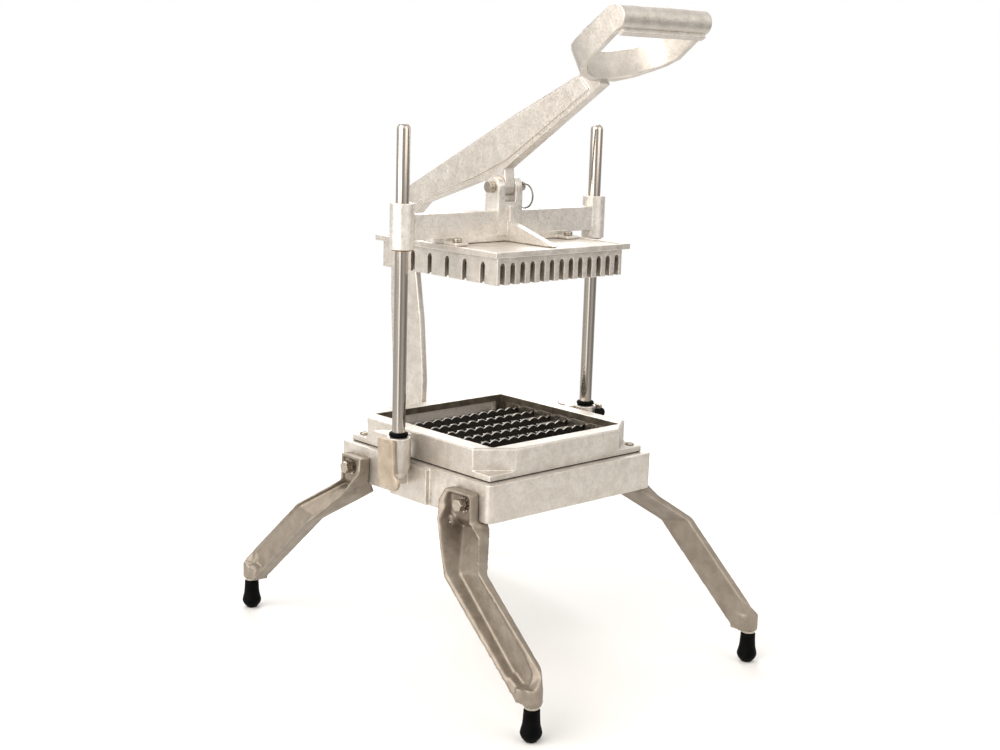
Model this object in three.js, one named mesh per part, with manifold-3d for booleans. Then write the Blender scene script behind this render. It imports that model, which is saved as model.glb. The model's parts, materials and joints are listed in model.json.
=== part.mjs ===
// Counter-top lever press that cuts salad heads: a crosshead slides on two rods and pushes the head
// through a square grid of scalloped blades.  Millimetres, +Z up, floor at zero.
// X runs from rod to rod, -Y is the operator's side, +Y the side of the link.

import * as THREE from 'three';
import { mergeVertices } from 'three/addons/utils/BufferGeometryUtils.js';
import Module from 'manifold-3d';

const wasm = await Module();
wasm.setup();
const { Manifold, Mesh: ManifoldMesh } = wasm;

// Driving dimensions

const finePitch = 12.7;
const fineCount = 13;
const coarsePitch = 25.4;
const coarseCount = 6;
const bladeThickness = 1.1;
const bladeHeight = 7.6;
const clearance = 0.3;
const overrun = 1.5;
const weldDistance = 1e-4;
const holeSides = 16;

// Throat, blade holder and base from the blade rows outwards
const throatMarginX = 3.95;
const throatMarginY = 12.3;
const holderWallX = 17;
const holderWallY = 15.9;
const baseLedgeX = 7.5;
const baseLedgeY = 8.6;
const throatHalfX = (fineCount * finePitch) / 2 + throatMarginX;
const throatHalfY = (coarseCount * coarsePitch) / 2 + throatMarginY;
const holderHalfX = throatHalfX + holderWallX;
const holderHalfY = throatHalfY + holderWallY;
const baseHalfX = holderHalfX + baseLedgeX;
const baseHalfY = holderHalfY + baseLedgeY;
const skirtWall = 7;
const skirtCorner = 6;
const deckThickness = 8;

// Heights from the floor up
const underside = 164;
const skirtHeight = 37;
const socketRise = 27;
const bladeSeatRise = 3.4;
const bladeHeadroom = 1.6;
const cageLip = 7.7;
const flangeThickness = 6.4;
const pinRise = 262;
const rodBeyondPin = 61;
const baseTop = underside + skirtHeight;
const socketTop = baseTop + socketRise;
const holderBottom = baseTop + clearance;
const fineBottom = holderBottom + bladeSeatRise;
const coarseBottom = fineBottom + bladeHeight + clearance;
const cageTop = coarseBottom + bladeHeight + bladeHeadroom;
const holderTop = cageTop + cageLip;
const pinHeight = baseTop + pinRise;
const rodTop = pinHeight + rodBeyondPin;

// Rods, feet, and the pins of the lever and its link
const rodBeyondSkirt = 16.6;
const rodRadius = 6.35;
const rodHalfSpan = baseHalfX + rodBeyondSkirt;
const bumperHeight = 4.6;
const bumperRadius = 9.3;
const legReach = 39.3;
const footBeyond = 105.6;
const footHalfX = baseHalfX + legReach;
const footHalfY = baseHalfY + footBeyond;
const pinRadius = 4.9;
const linkFootBeyond = 27;
const linkFootDrop = 13;
const linkOverhang = 13;
const leverPinDrop = 60;
const linkFootAcross = baseHalfY + linkFootBeyond;
const linkFootHeight = baseTop - linkFootDrop;
const leverPinAcross = linkFootAcross + linkOverhang;
const rearPinHeight = pinHeight - leverPinDrop;

// Colours and finishes

const finish = (color, roughness, metalness) => new THREE.MeshStandardMaterial({ color, roughness, metalness });
const castAluminium = finish(0xcfc8bf, 0.46, 0.85);
const legAluminium = finish(0xb3a99b, 0.5, 0.85);
const polishedSteel = finish(0xd4d2cd, 0.16, 1);
const bladeSteel = finish(0xdcdedd, 0.22, 1);
const zincSteel = finish(0xbdb8ae, 0.35, 1);
const blackRubber = finish(0x0b0b0c, 0.7, 0);
const bronze = finish(0xa9804a, 0.4, 1);

// Shape helpers: every one returns a Manifold solid

function solid(geometry) {
  const bare = new THREE.BufferGeometry();
  bare.setAttribute('position', geometry.getAttribute('position').clone());
  if (geometry.index) bare.setIndex(geometry.index.clone());
  const merged = mergeVertices(bare, weldDistance);
  return new Manifold(new ManifoldMesh({
    numProp: 3,
    vertProperties: new Float32Array(merged.getAttribute('position').array),
    triVerts: new Uint32Array(merged.index.array),
  }));
}

function box(x0, x1, y0, y1, z0, z1) {
  const geometry = new THREE.BoxGeometry(x1 - x0, y1 - y0, z1 - z0);
  geometry.translate((x0 + x1) / 2, (y0 + y1) / 2, (z0 + z1) / 2);
  return solid(geometry);
}

// Outline points [a, b] extruded along an axis: X uses (y, z), Y uses (x, z), Z uses (x, y)
function prism(axis, points, from, to) {
  const shape = new THREE.Shape(points.map(([a, b]) => new THREE.Vector2(a, b)));
  const geometry = new THREE.ExtrudeGeometry(shape, { depth: to - from, bevelEnabled: false });
  const place = new THREE.Matrix4();
  if (axis === 'x') place.set(0, 0, 1, from, 1, 0, 0, 0, 0, 1, 0, 0, 0, 0, 0, 1);
  if (axis === 'y') place.set(1, 0, 0, 0, 0, 0, -1, to, 0, 1, 0, 0, 0, 0, 0, 1);
  if (axis === 'z') place.set(1, 0, 0, 0, 0, 1, 0, 0, 0, 0, 1, from, 0, 0, 0, 1);
  geometry.applyMatrix4(place);
  return solid(geometry);
}

// A profile of [radius, height] points turned about the Z axis through (x, y)
function turned(profile, x, y, sides) {
  const geometry = new THREE.LatheGeometry(profile.map(([r, z]) => new THREE.Vector2(r, z)), sides);
  geometry.rotateX(Math.PI / 2);
  geometry.translate(x, y, 0);
  return solid(geometry);
}

function post(radius, x, y, z0, z1, sides = 32) {
  return turned([[0, z0], [radius, z0], [radius, z1], [0, z1]], x, y, sides);
}

// A round bar along X or Y; centre holds the two other coordinates in order
function bar(axis, radius, centre, from, to, sides = 28) {
  const geometry = new THREE.CylinderGeometry(radius, radius, to - from, sides);
  if (axis === 'x') geometry.rotateZ(-Math.PI / 2);
  const middle = (from + to) / 2;
  if (axis === 'x') geometry.translate(middle, centre[0], centre[1]);
  if (axis === 'y') geometry.translate(centre[0], middle, centre[1]);
  return solid(geometry);
}

// A closed skin over a row of equal-count convex loops of Vector3
function loft(loops) {
  const count = loops[0].length;
  const positions = loops.flat().flatMap((point) => [point.x, point.y, point.z]);
  const faces = [];
  for (let row = 0; row + 1 < loops.length; row += 1) {
    for (let column = 0; column < count; column += 1) {
      const a = row * count + column;
      const b = row * count + ((column + 1) % count);
      faces.push(a, b, a + count, b, b + count, a + count);
    }
  }
  const last = (loops.length - 1) * count;
  for (let column = 1; column + 1 < count; column += 1) {
    faces.push(0, column + 1, column);
    faces.push(last, last + column, last + column + 1);
  }
  const corner = (index) => new THREE.Vector3().fromArray(positions, 3 * index);
  let volume = 0;
  for (let i = 0; i < faces.length; i += 3) {
    volume += corner(faces[i]).dot(corner(faces[i + 1]).cross(corner(faces[i + 2])));
  }
  if (volume < 0) faces.reverse();
  const geometry = new THREE.BufferGeometry();
  geometry.setAttribute('position', new THREE.Float32BufferAttribute(positions, 3));
  geometry.setIndex(faces);
  return solid(geometry);
}

const join = (...solids) => solids.reduce((whole, piece) => whole.add(piece));
const cut = (whole, ...tools) => tools.reduce((left, tool) => left.subtract(tool), whole);

function arc(a, b, radius, startTurn, endTurn, steps) {
  const points = [];
  for (let i = 0; i <= steps; i += 1) {
    const angle = 2 * Math.PI * (startTurn + ((endTurn - startTurn) * i) / steps);
    points.push([a + radius * Math.cos(angle), b + radius * Math.sin(angle)]);
  }
  return points;
}

function roundedRectangle(halfA, halfB, radius, steps = 4) {
  return [
    ...arc(halfA - radius, halfB - radius, radius, 0, 0.25, steps),
    ...arc(radius - halfA, halfB - radius, radius, 0.25, 0.5, steps),
    ...arc(radius - halfA, radius - halfB, radius, 0.5, 0.75, steps),
    ...arc(halfA - radius, radius - halfB, radius, 0.75, 1, steps),
  ];
}

const group = new THREE.Group();
group.name = 'vegetable_cutter';

function place(name, made, material) {
  const flat = made.getMesh();
  const geometry = new THREE.BufferGeometry();
  geometry.setAttribute('position', new THREE.Float32BufferAttribute(Array.from(flat.vertProperties), 3));
  geometry.setIndex(Array.from(flat.triVerts));
  geometry.computeVertexNormals();
  const mesh = new THREE.Mesh(geometry, material);
  mesh.name = name;
  group.add(mesh);
}

const sides = [['left', -1], ['right', 1]];
const corners = [
  ['front_left', -1, -1],
  ['front_right', 1, -1],
  ['rear_left', -1, 1],
  ['rear_right', 1, 1],
];

// Rod sockets: a boss round each rod on a web from the skirt, and a keeper plate outside the boss that
// stands free of it except at the hooked lower end

const reliefGap = 1.4;
const socketBossRadius = 11.5;
const socketBossLength = 41;
const socketBossTaper = 12;
const socketWebNear = 5;
const socketWebFar = 12;
const socketWebDepth = 36;
const wingBeyondSkirt = 1;
const wingBeyondRod = 4.4;
const wingReach = 35;
const wingDepth = 13;
const keeperBeyondRod = 16;
const keeperThickness = 4;
const keeperNear = 10.2;
const keeperFar = 12.4;
const keeperWaistDrop = 26;
const keeperHookAcross = 11.6;
const keeperHookDrop = 41.4;
const keeperHookRadius = 7.4;
const keeperHeelDrop = 48;
const keeperHeelHeight = 17;
const padProud = 4.5;
const padHalfWidth = 27.5;
const padDrop = 2;
const boreDepth = 31;
const knobRadius = 5.4;
const knobLength = 6;
const knobDrop = 6.4;
const knobBeyondRod = 6.9;
const knobFace = 12.3;
const clampScrewRadius = 2.5;
const clampScrewTip = 5.6;
const socketInner = holderHalfX + reliefGap;
const socketBossBottom = socketTop - socketBossLength;
const socketBossShoulder = socketBossBottom + socketBossTaper;
const wingInner = baseHalfX + wingBeyondSkirt;
const wingOuter = rodHalfSpan + wingBeyondRod;
const keeperOuter = rodHalfSpan + keeperBeyondRod;
const keeperHookHeight = socketTop - keeperHookDrop;
const keeperHeelBottom = socketTop - keeperHeelDrop;
const boreBottom = socketTop - boreDepth;
const knobOut = rodHalfSpan + knobBeyondRod;
const knobHeight = socketTop - knobDrop;

// The span between two distances from the middle plane, on the chosen side
const span = (side, from, to) => [Math.min(side * from, side * to), Math.max(side * from, side * to)];

function socketLug(side) {
  const inside = baseHalfX - skirtWall / 2;
  const webFloor = socketTop - socketWebDepth;
  const web = box(...span(side, inside, rodHalfSpan), socketWebNear, socketWebFar, webFloor, socketTop);
  const wing = prism('z', [
    [side * wingInner, socketWebFar - overrun],
    [side * wingOuter, socketWebFar - overrun],
    [side * wingOuter, wingReach],
    [side * (wingInner + wingOuter) / 2, wingReach],
    [side * wingInner, (wingReach + socketWebFar) / 2],
  ], socketTop - wingDepth, socketTop);
  const relief = box(
    ...span(side, baseHalfX - skirtWall, socketInner),
    -2 * wingReach,
    2 * wingReach,
    baseTop + clearance,
    socketTop + overrun,
  );
  const boss = turned([
    [0, socketBossBottom],
    [socketBossRadius * 0.5, socketBossBottom + overrun],
    [socketBossRadius * 0.85, (socketBossBottom + socketBossShoulder) / 2],
    [socketBossRadius, socketBossShoulder],
    [socketBossRadius, socketTop],
    [0, socketTop],
  ], side * rodHalfSpan, 0, 32);
  const heel = box(
    ...span(side, inside, keeperOuter - overrun),
    0,
    keeperFar - overrun,
    keeperHeelBottom,
    keeperHeelBottom + keeperHeelHeight,
  );
  const plate = prism('x', [
    [-keeperNear, socketTop],
    ...arc(-keeperHookAcross, keeperHookHeight, keeperHookRadius, 0.28, 0.82, 10),
    [keeperFar * 0.75, keeperHeelBottom + keeperHookRadius],
    [keeperFar, socketTop - keeperWaistDrop],
    [keeperFar, socketTop],
  ], ...span(side, keeperOuter - keeperThickness, keeperOuter));
  const bore = post(rodRadius + clearance, side * rodHalfSpan, 0, boreBottom, socketTop + overrun);
  return cut(join(web, wing, boss, heel, plate), relief, bore);
}

// Rear hinge ears for the foot of the link.  Each has a slot in which the hinge pin runs fore and aft
// while the press works.

const linkThickness = 7;
const earThickness = 7;
const earRise = 12;
const earSlotAhead = 4.6;
const earSlotBehind = 22.6;
const earSlotPlay = 3.4;
const earSlotWall = 6.5;
const earCorner = 12;
const footPinRadius = 4.5;
const earInner = linkThickness / 2 + clearance;
const earOuter = earInner + earThickness;
const earSlotRadius = footPinRadius + earSlotPlay;
const earReach = linkFootAcross + earSlotBehind + earSlotRadius + earSlotWall;
const earTop = baseTop + earRise;

function hingeEar(side) {
  const outline = [
    [baseHalfY - skirtWall / 2, underside],
    ...arc(earReach - earCorner, underside + earCorner, earCorner, 0.75, 1, 5),
    ...arc(earReach - 2 * earCorner, earTop - 2 * earCorner, 2 * earCorner, 0, 0.25, 6),
    [baseHalfY + earCorner, earTop],
    [baseHalfY - skirtWall / 2, baseTop],
  ];
  const ear = prism('x', outline, ...span(side, earInner, earOuter));
  const reach = span(side, earInner - overrun, earOuter + overrun);
  const slot = [
    ...arc(linkFootAcross + earSlotBehind, linkFootHeight, earSlotRadius, -0.25, 0.25, 8),
    ...arc(linkFootAcross - earSlotAhead, linkFootHeight, earSlotRadius, 0.25, 0.75, 8),
  ];
  return cut(ear, prism('x', slot, ...reach));
}

// Base frame: skirt box, deck, side pads, sockets and hinge ears

const legBoltInset = 26.8;
const legBoltRise = 15.5;
const legBoltRadius = 4;
const legBoltAcross = baseHalfY - legBoltInset;
const legBoltHeight = underside + legBoltRise;
const earScrewInsetX = 8;
const earScrewInsetY = 8.9;
const earScrewX = holderHalfX - earScrewInsetX;
const earScrewY = holderHalfY - earScrewInsetY;
const holderScrewRadius = 2.4;
const holderScrewDepth = 14;

function baseFrame() {
  const skirt = prism('z', roundedRectangle(baseHalfX, baseHalfY, skirtCorner), underside, baseTop);
  const hollow = prism(
    'z',
    roundedRectangle(baseHalfX - skirtWall, baseHalfY - skirtWall, skirtCorner / 2),
    underside - overrun,
    baseTop - deckThickness,
  );
  const throat = box(
    -throatHalfX - skirtWall,
    throatHalfX + skirtWall,
    -throatHalfY - skirtWall,
    throatHalfY + skirtWall,
    underside,
    baseTop + overrun,
  );
  const padOuter = baseHalfX + padProud;
  const pads = box(-padOuter, padOuter, -padHalfWidth, padHalfWidth, underside, baseTop - padDrop);
  let frame = cut(join(skirt, pads), hollow, throat);
  for (const [, side] of sides) frame = join(frame, socketLug(side), hingeEar(side));
  for (const [, sideX, sideY] of corners) {
    const centre = [sideY * legBoltAcross, legBoltHeight];
    const reach = span(sideX, baseHalfX - skirtWall - overrun, baseHalfX + overrun);
    frame = cut(frame, bar('x', legBoltRadius + clearance, centre, ...reach, holeSides));
  }
  for (const side of [-1, 1]) {
    const radius = holderScrewRadius + clearance;
    const depth = baseTop - holderScrewDepth;
    frame = cut(frame, post(radius, side * earScrewX, -side * earScrewY, depth, baseTop + overrun, holeSides));
  }
  const tip = clampScrewTip - clearance;
  const threaded = bar('y', clampScrewRadius + clearance, [knobOut, knobHeight], -knobFace, -tip, holeSides);
  return cut(frame, threaded);
}

place('base_frame', baseFrame(), castAluminium);

// Legs: cast channels that leave the skirt outwards, bend at a knee and run to the foot boss.
// A station holds four corners in order: outer rim on the inward side, back on the inward side,
// back on the far side, outer rim on the far side.  Each corner is [out, along, height] shares of the
// reach beyond the skirt, of the run from the leg's near edge to the foot, and of the underside height;
// what exceeds one in a height is a share of the skirt height.

const legSpread = 53;
const legNear = baseHalfY - legSpread;
const legRun = footHalfY - legNear;
const footBossHeight = 34;
const footBossTop = 50;
const footBossRadius = 9;
const legOuterShares = [
  [[0.33, 0.03, 1.753], [0.01, 0.03, 1.753], [0.01, 0.245, 1.753], [0.28, 0.245, 1.731]],
  [[0.45, 0.0, 1.399], [0.01, 0.03, 1.399], [0.01, 0.25, 1.399], [0.27, 0.25, 1.399]],
  [[0.66, 0.05, 0.999], [0.01, 0.035, 0.998], [0.01, 0.25, 0.998], [0.26, 0.255, 0.999]],
  [[0.68, 0.06, 0.985], [-0.17, 0.07, 0.998], [-0.18, 0.285, 0.998], [0.27, 0.27, 0.985]],
  [[0.74, 0.09, 0.945], [-0.25, 0.06, 0.94], [-0.16, 0.31, 0.965], [0.3, 0.355, 0.935]],
  [[1.22, 0.29, 0.745], [0.66, 0.29, 0.757], [0.69, 0.53, 0.795], [0.91, 0.515, 0.805]],
  [[1.2, 0.905, 0.213], [0.74, 0.9, 0.224], [0.71, 0.99, 0.4], [0.86, 1.035, 0.375]],
];
const heelShares = [[0.74, 0.9], [0.7, 1], [0.8, 1.035], [1.02, 1.04], [1.18, 1], [1.2, 0.91]];
const channelFloorShare = 0.165;
const nearWallShare = 0.13;
const farWallShare = 0.09;
const pocketTopShare = 0.28;
const pocketEndShare = 0.86;
const knee = legOuterShares.length - 2;

function legPoint(share, sideX, sideY) {
  return new THREE.Vector3(
    sideX * (baseHalfX + share[0] * legReach),
    sideY * (legNear + share[1] * legRun),
    Math.min(share[2], 1) * underside + Math.max(share[2] - 1, 0) * skirtHeight,
  );
}

const blend = (from, to, share) => from.map((value, i) => value + (to[i] - value) * share);

function legStation(position) {
  const row = Math.min(Math.floor(position), legOuterShares.length - 2);
  return legOuterShares[row].map((corner, i) => blend(corner, legOuterShares[row + 1][i], position - row));
}

function pocketStation(position) {
  const [rimNear, backNear, backFar, rimFar] = legStation(position);
  const floorShare = [channelFloorShare, 0, 0];
  const lift = (corner) => corner.map((value, i) => value + floorShare[i]);
  const past = (corner) => corner.map((value, i) => value + 2 * floorShare[i]);
  return [
    past(blend(rimNear, rimFar, nearWallShare)),
    lift(blend(backNear, backFar, nearWallShare)),
    lift(blend(backNear, backFar, 1 - farWallShare)),
    past(blend(rimNear, rimFar, 1 - farWallShare)),
  ];
}

function leg(sideX, sideY) {
  const mirrored = (station) => station.map((share) => legPoint(share, sideX, sideY));
  const body = loft(legOuterShares.map(mirrored));
  const pocketStops = [pocketTopShare, 1, 2, 4, 5, 5 + pocketEndShare];
  const pocket = loft(pocketStops.map((stop) => mirrored(pocketStation(stop))));
  const x = sideX * footHalfX;
  const y = sideY * footHalfY;
  const boss = post(footBossRadius, x, y, footBossHeight, footBossTop, 20);
  const heel = loft([footBossHeight, footBossTop].map((z) => (
    heelShares.map(([out, along]) => legPoint([out, along, z / underside], sideX, sideY)))));
  const studHole = post(footStudRadius + clearance, x, y, footBossHeight - overrun, studTop, 20);
  const boltCentre = [sideY * legBoltAcross, legBoltHeight];
  const boltReach = span(sideX, baseHalfX - overrun, footHalfX);
  const hole = bar('x', legBoltRadius + clearance, boltCentre, ...boltReach, holeSides);
  return cut(join(cut(body, pocket), boss, heel), studHole, hole);
}

// Leg bolts with toothed lock washers

const boltHeadRadius = 6.4;
const boltHeadHeight = 8;
const washerRadius = 7.6;
const washerThickness = 1.6;
const washerTeeth = 12;
const toothDepth = 1.7;
const legBackShare = legOuterShares[0][1][0];
const washerSeat = baseHalfX + (channelFloorShare + legBackShare) * legReach + clearance;

function lockWasher(sideX, sideY) {
  const points = [];
  for (let i = 0; i < 2 * washerTeeth; i += 1) {
    const angle = (Math.PI * i) / washerTeeth;
    const radius = i % 2 ? washerRadius : washerRadius - toothDepth;
    points.push([
      sideY * legBoltAcross + radius * Math.cos(angle),
      legBoltHeight + radius * Math.sin(angle),
    ]);
  }
  const from = Math.min(sideX * washerSeat, sideX * (washerSeat + washerThickness));
  const disc = prism('x', points, from, from + washerThickness);
  const centre = [sideY * legBoltAcross, legBoltHeight];
  return cut(disc, bar('x', legBoltRadius + clearance, centre, from - overrun, from + 2 * washerThickness, holeSides));
}

function legBolt(sideX, sideY) {
  const centre = [sideY * legBoltAcross, legBoltHeight];
  const headFrom = washerSeat + washerThickness + clearance;
  const shankFrom = baseHalfX - skirtWall + clearance;
  const shank = bar('x', legBoltRadius, centre, ...span(sideX, shankFrom, headFrom + overrun), holeSides);
  const head = bar('x', boltHeadRadius, centre, ...span(sideX, headFrom, headFrom + boltHeadHeight), 6);
  return join(shank, head);
}

// Feet: a steel stud in the boss and a bullet-shaped rubber boot on it

const footStudRadius = 4.6;
const studTop = 46;
const studBottom = 14;
const collarRadius = 6.6;
const bootTop = 30.5;
const bootTopRadius = 7.4;
const bootWaistHeight = 17;
const bootWaistRadius = 8.1;
const bootWideHeight = 8.8;
const bootWideRadius = 10;
const bootSoleRadius = 4.4;

function footStud(x, y) {
  return turned([
    [0, studBottom],
    [footStudRadius, studBottom],
    [footStudRadius, bootTop + clearance],
    [collarRadius, bootTop + clearance],
    [collarRadius, footBossHeight - clearance],
    [footStudRadius, footBossHeight - clearance],
    [footStudRadius, studTop - clearance],
    [0, studTop - clearance],
  ], x, y, holeSides);
}

function footBoot(x, y) {
  const socket = footStudRadius + clearance;
  return turned([
    [0, 0],
    [bootSoleRadius, 0],
    [bootWideRadius * 0.88, bootWideHeight * 0.55],
    [bootWideRadius, bootWideHeight],
    [bootWaistRadius, bootWaistHeight],
    [bootTopRadius, bootTop - clearance],
    [bootTopRadius * 0.94, bootTop],
    [socket, bootTop],
    [socket, studBottom - clearance],
    [0, studBottom - clearance],
  ], x, y, 24);
}

for (const [name, sideX, sideY] of corners) {
  place(`leg_${name}`, leg(sideX, sideY), legAluminium);
  place(`leg_bolt_${name}`, legBolt(sideX, sideY), zincSteel);
  place(`lock_washer_${name}`, lockWasher(sideX, sideY), zincSteel);
  place(`foot_stud_${name}`, footStud(sideX * footHalfX, sideY * footHalfY), zincSteel);
  place(`foot_boot_${name}`, footBoot(sideX * footHalfX, sideY * footHalfY), blackRubber);
}

// Guide rods, bumpers and the clamp knob

const rodDome = 5;

function guideRod(x) {
  return turned([
    [0, boreBottom + clearance],
    [rodRadius, boreBottom + clearance],
    [rodRadius, rodTop - rodDome],
    [rodRadius * 0.87, rodTop - rodDome * 0.5],
    [rodRadius * 0.6, rodTop - rodDome * 0.2],
    [rodRadius * 0.3, rodTop - rodDome * 0.05],
    [0, rodTop],
  ], x, 0, 28);
}

function rodBumper(x) {
  const bottom = socketTop + clearance;
  const inner = rodRadius + clearance;
  const bulge = bumperHeight / 4;
  return turned([
    [inner, bottom],
    [bumperRadius - bulge, bottom],
    [bumperRadius, bottom + bulge],
    [bumperRadius, bottom + bumperHeight - bulge],
    [bumperRadius - bulge, bottom + bumperHeight],
    [inner, bottom + bumperHeight],
    [inner, bottom],
  ], x, 0, 28);
}

function clampKnob() {
  const centre = [knobOut, knobHeight];
  const grip = bar('y', knobRadius, centre, -knobFace - knobLength, -knobFace, 20);
  const shank = bar('y', clampScrewRadius, centre, -knobFace - overrun, -clampScrewTip, holeSides);
  return join(grip, shank);
}

for (const [name, side] of sides) {
  place(`guide_rod_${name}`, guideRod(side * rodHalfSpan), polishedSteel);
  place(`rod_bumper_${name}`, rodBumper(side * rodHalfSpan), blackRubber);
}

// Blade holder: cast ring with cut corners on a square flange

const cornerCutX = 33;
const cornerCutY = 24.5;
const rimFillet = 1.6;
const flangeTop = holderBottom + flangeThickness;
const cageWallX = 7.5;
const cageWallY = 6.5;
const cageEndMargin = 3.3;
const cageHalfX = throatHalfX + cageWallX;
const cageHalfY = throatHalfY + cageWallY;
const cageEndX = ((fineCount - 1) * finePitch) / 2 + cageEndMargin;
const cageEndY = (coarseCount * coarsePitch) / 2 + cageEndMargin;

function cutSquare(halfX, halfY, cutX, cutY) {
  return [
    [halfX, halfY - cutY],
    [halfX - cutX, halfY],
    [cutX - halfX, halfY],
    [-halfX, halfY - cutY],
    [-halfX, cutY - halfY],
    [cutX - halfX, -halfY],
    [halfX - cutX, -halfY],
    [halfX, cutY - halfY],
  ];
}

function bladeHolder() {
  const wall = (halfX, halfY, z) => cutSquare(halfX, halfY, cornerCutX, cornerCutY)
    .map(([x, y]) => new THREE.Vector3(x, y, z));
  const ring = loft([
    wall(holderHalfX, holderHalfY, holderBottom),
    wall(holderHalfX, holderHalfY, holderTop - rimFillet),
    wall(holderHalfX - rimFillet, holderHalfY - rimFillet, holderTop),
  ]);
  const flange = box(-holderHalfX, holderHalfX, -holderHalfY, holderHalfY, holderBottom, flangeTop);
  const throat = box(-throatHalfX, throatHalfX, -throatHalfY, throatHalfY, holderBottom - overrun, holderTop + overrun);
  const cage = join(
    box(-cageHalfX, cageHalfX, -cageEndY, cageEndY, holderBottom - overrun, cageTop),
    box(-cageEndX, cageEndX, -cageHalfY, cageHalfY, holderBottom - overrun, cageTop),
  );
  let holder = cut(join(ring, flange), throat, cage);
  for (const side of [-1, 1]) {
    const radius = holderScrewRadius + clearance;
    holder = cut(holder, post(radius, side * earScrewX, -side * earScrewY, holderBottom - overrun, holderTop, holeSides));
  }
  return holder;
}

const screwHeadRadius = 4.4;
const screwHeadHeight = 2;
const slotWidth = 1.1;
const slotDepth = 1.2;

function holderScrew(x, y) {
  const seat = flangeTop + clearance;
  const body = turned([
    [0, baseTop - holderScrewDepth + clearance],
    [holderScrewRadius, baseTop - holderScrewDepth + clearance],
    [holderScrewRadius, seat],
    [screwHeadRadius, seat],
    [screwHeadRadius, seat + screwHeadHeight * 0.6],
    [screwHeadRadius * 0.75, seat + screwHeadHeight],
    [0, seat + screwHeadHeight],
  ], x, y, 20);
  const top = seat + screwHeadHeight;
  const slot = box(
    x - screwHeadRadius - overrun,
    x + screwHeadRadius + overrun,
    y - slotWidth / 2,
    y + slotWidth / 2,
    top - slotDepth,
    top + overrun,
  );
  return cut(body, slot);
}

place('blade_holder', bladeHolder(), castAluminium);
place('holder_screw_front_right', holderScrew(earScrewX, -earScrewY), zincSteel);
place('holder_screw_rear_left', holderScrew(-earScrewX, earScrewY), zincSteel);

// Blades: scalloped upper edges; the fine row lies under the coarse row

const scallopHeight = 2.3;
const scallopSteps = 3;
const cageGap = 0.35;
const barEnd = 6;

function scalloped(halfLength, pitch, bottom) {
  const waves = Math.floor(halfLength / pitch);
  const points = [[-halfLength, bottom], [halfLength, bottom], [halfLength, bottom + bladeHeight - scallopHeight]];
  for (let i = waves * scallopSteps; i >= -waves * scallopSteps; i -= 1) {
    const wave = Math.abs(Math.cos((Math.PI * i) / scallopSteps));
    points.push([(i * pitch) / scallopSteps, bottom + bladeHeight - scallopHeight * (1 - wave)]);
  }
  points.push([-halfLength, bottom + bladeHeight - scallopHeight]);
  return points;
}

function fineBladeSet() {
  const halfLength = cageHalfY - cageGap;
  const railIn = halfLength - barEnd;
  const railX = cageEndX - cageGap;
  const bottom = holderBottom + clearance;
  const front = box(-railX, railX, -halfLength, -railIn, bottom, coarseBottom - clearance);
  const rear = box(-railX, railX, railIn, halfLength, bottom, coarseBottom - clearance);
  let set = join(front, rear);
  for (let i = 0; i < fineCount; i += 1) {
    const x = (i - (fineCount - 1) / 2) * finePitch;
    const outline = scalloped(halfLength - overrun, finePitch, fineBottom);
    set = join(set, prism('x', outline, x - bladeThickness / 2, x + bladeThickness / 2));
  }
  return set;
}

const bladeSeatDepth = 4;
const coarseBarTop = cageTop - clearance;

function coarseBladeBar(side) {
  const outer = cageHalfX - cageGap;
  const inner = outer - barEnd;
  const halfLength = cageEndY - cageGap;
  let rail = box(...span(side, inner, outer), -halfLength, halfLength, coarseBottom, coarseBarTop);
  for (let i = 0; i < coarseCount; i += 1) {
    const y = (i - (coarseCount - 1) / 2) * coarsePitch;
    const seat = box(
      ...span(side, inner - overrun, inner + bladeSeatDepth),
      y - bladeThickness / 2 - clearance,
      y + bladeThickness / 2 + clearance,
      coarseBottom - overrun,
      coarseBottom + bladeHeight + clearance,
    );
    rail = cut(rail, seat);
  }
  return rail;
}

function coarseBlade(y) {
  const halfLength = cageHalfX - cageGap - barEnd + bladeSeatDepth - clearance;
  return prism('y', scalloped(halfLength, finePitch, coarseBottom), y - bladeThickness / 2, y + bladeThickness / 2);
}

place('fine_blade_set', fineBladeSet(), bladeSteel);
for (const [name, side] of sides) place(`blade_bar_${name}`, coarseBladeBar(side), zincSteel);
for (let i = 0; i < coarseCount; i += 1) {
  place(`coarse_blade_${i + 1}`, coarseBlade((i - (coarseCount - 1) / 2) * coarsePitch), bladeSteel);
}
place('clamp_knob', clampKnob(), blackRubber);

// Push block: bordered plate with a grid of fingers that pass between the blades

const plateDrop = 51.4;
const plateThickness = 5.6;
const plateBorder = 5;
const plateRecess = 1.6;
const plateLipX = 6.1;
const plateLipY = 5.1;
const throatGapX = 3.3;
const throatGapY = 4.3;
const fingerDrop = 31.4;
const fingerCrownDrop = 11;
const slotHalf = 3;
const plateTop = pinHeight - plateDrop;
const fingerHalfX = throatHalfX - throatGapX;
const fingerHalfY = throatHalfY - throatGapY;
const plateHalfX = fingerHalfX + plateLipX;
const plateHalfY = fingerHalfY + plateLipY;
const fingerBottom = plateTop - fingerDrop;
const fingerRoot = plateTop - fingerCrownDrop;
const slotRows = [
  ['x', fineCount, finePitch],
  ['y', coarseCount, coarsePitch],
];
const mountHoleX = 74;
const mountHoleY = 17;
const capScrewRadius = 2.6;

function fingerSlot(direction, centre) {
  const outline = [
    [centre - slotHalf, fingerBottom - overrun],
    [centre + slotHalf, fingerBottom - overrun],
    [centre + slotHalf, fingerRoot - slotHalf],
    [centre + slotHalf / 2, fingerRoot],
    [centre - slotHalf / 2, fingerRoot],
    [centre - slotHalf, fingerRoot - slotHalf],
  ];
  const reach = fingerHalfX + fingerHalfY;
  return prism(direction === 'x' ? 'y' : 'x', outline, -reach, reach);
}

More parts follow.
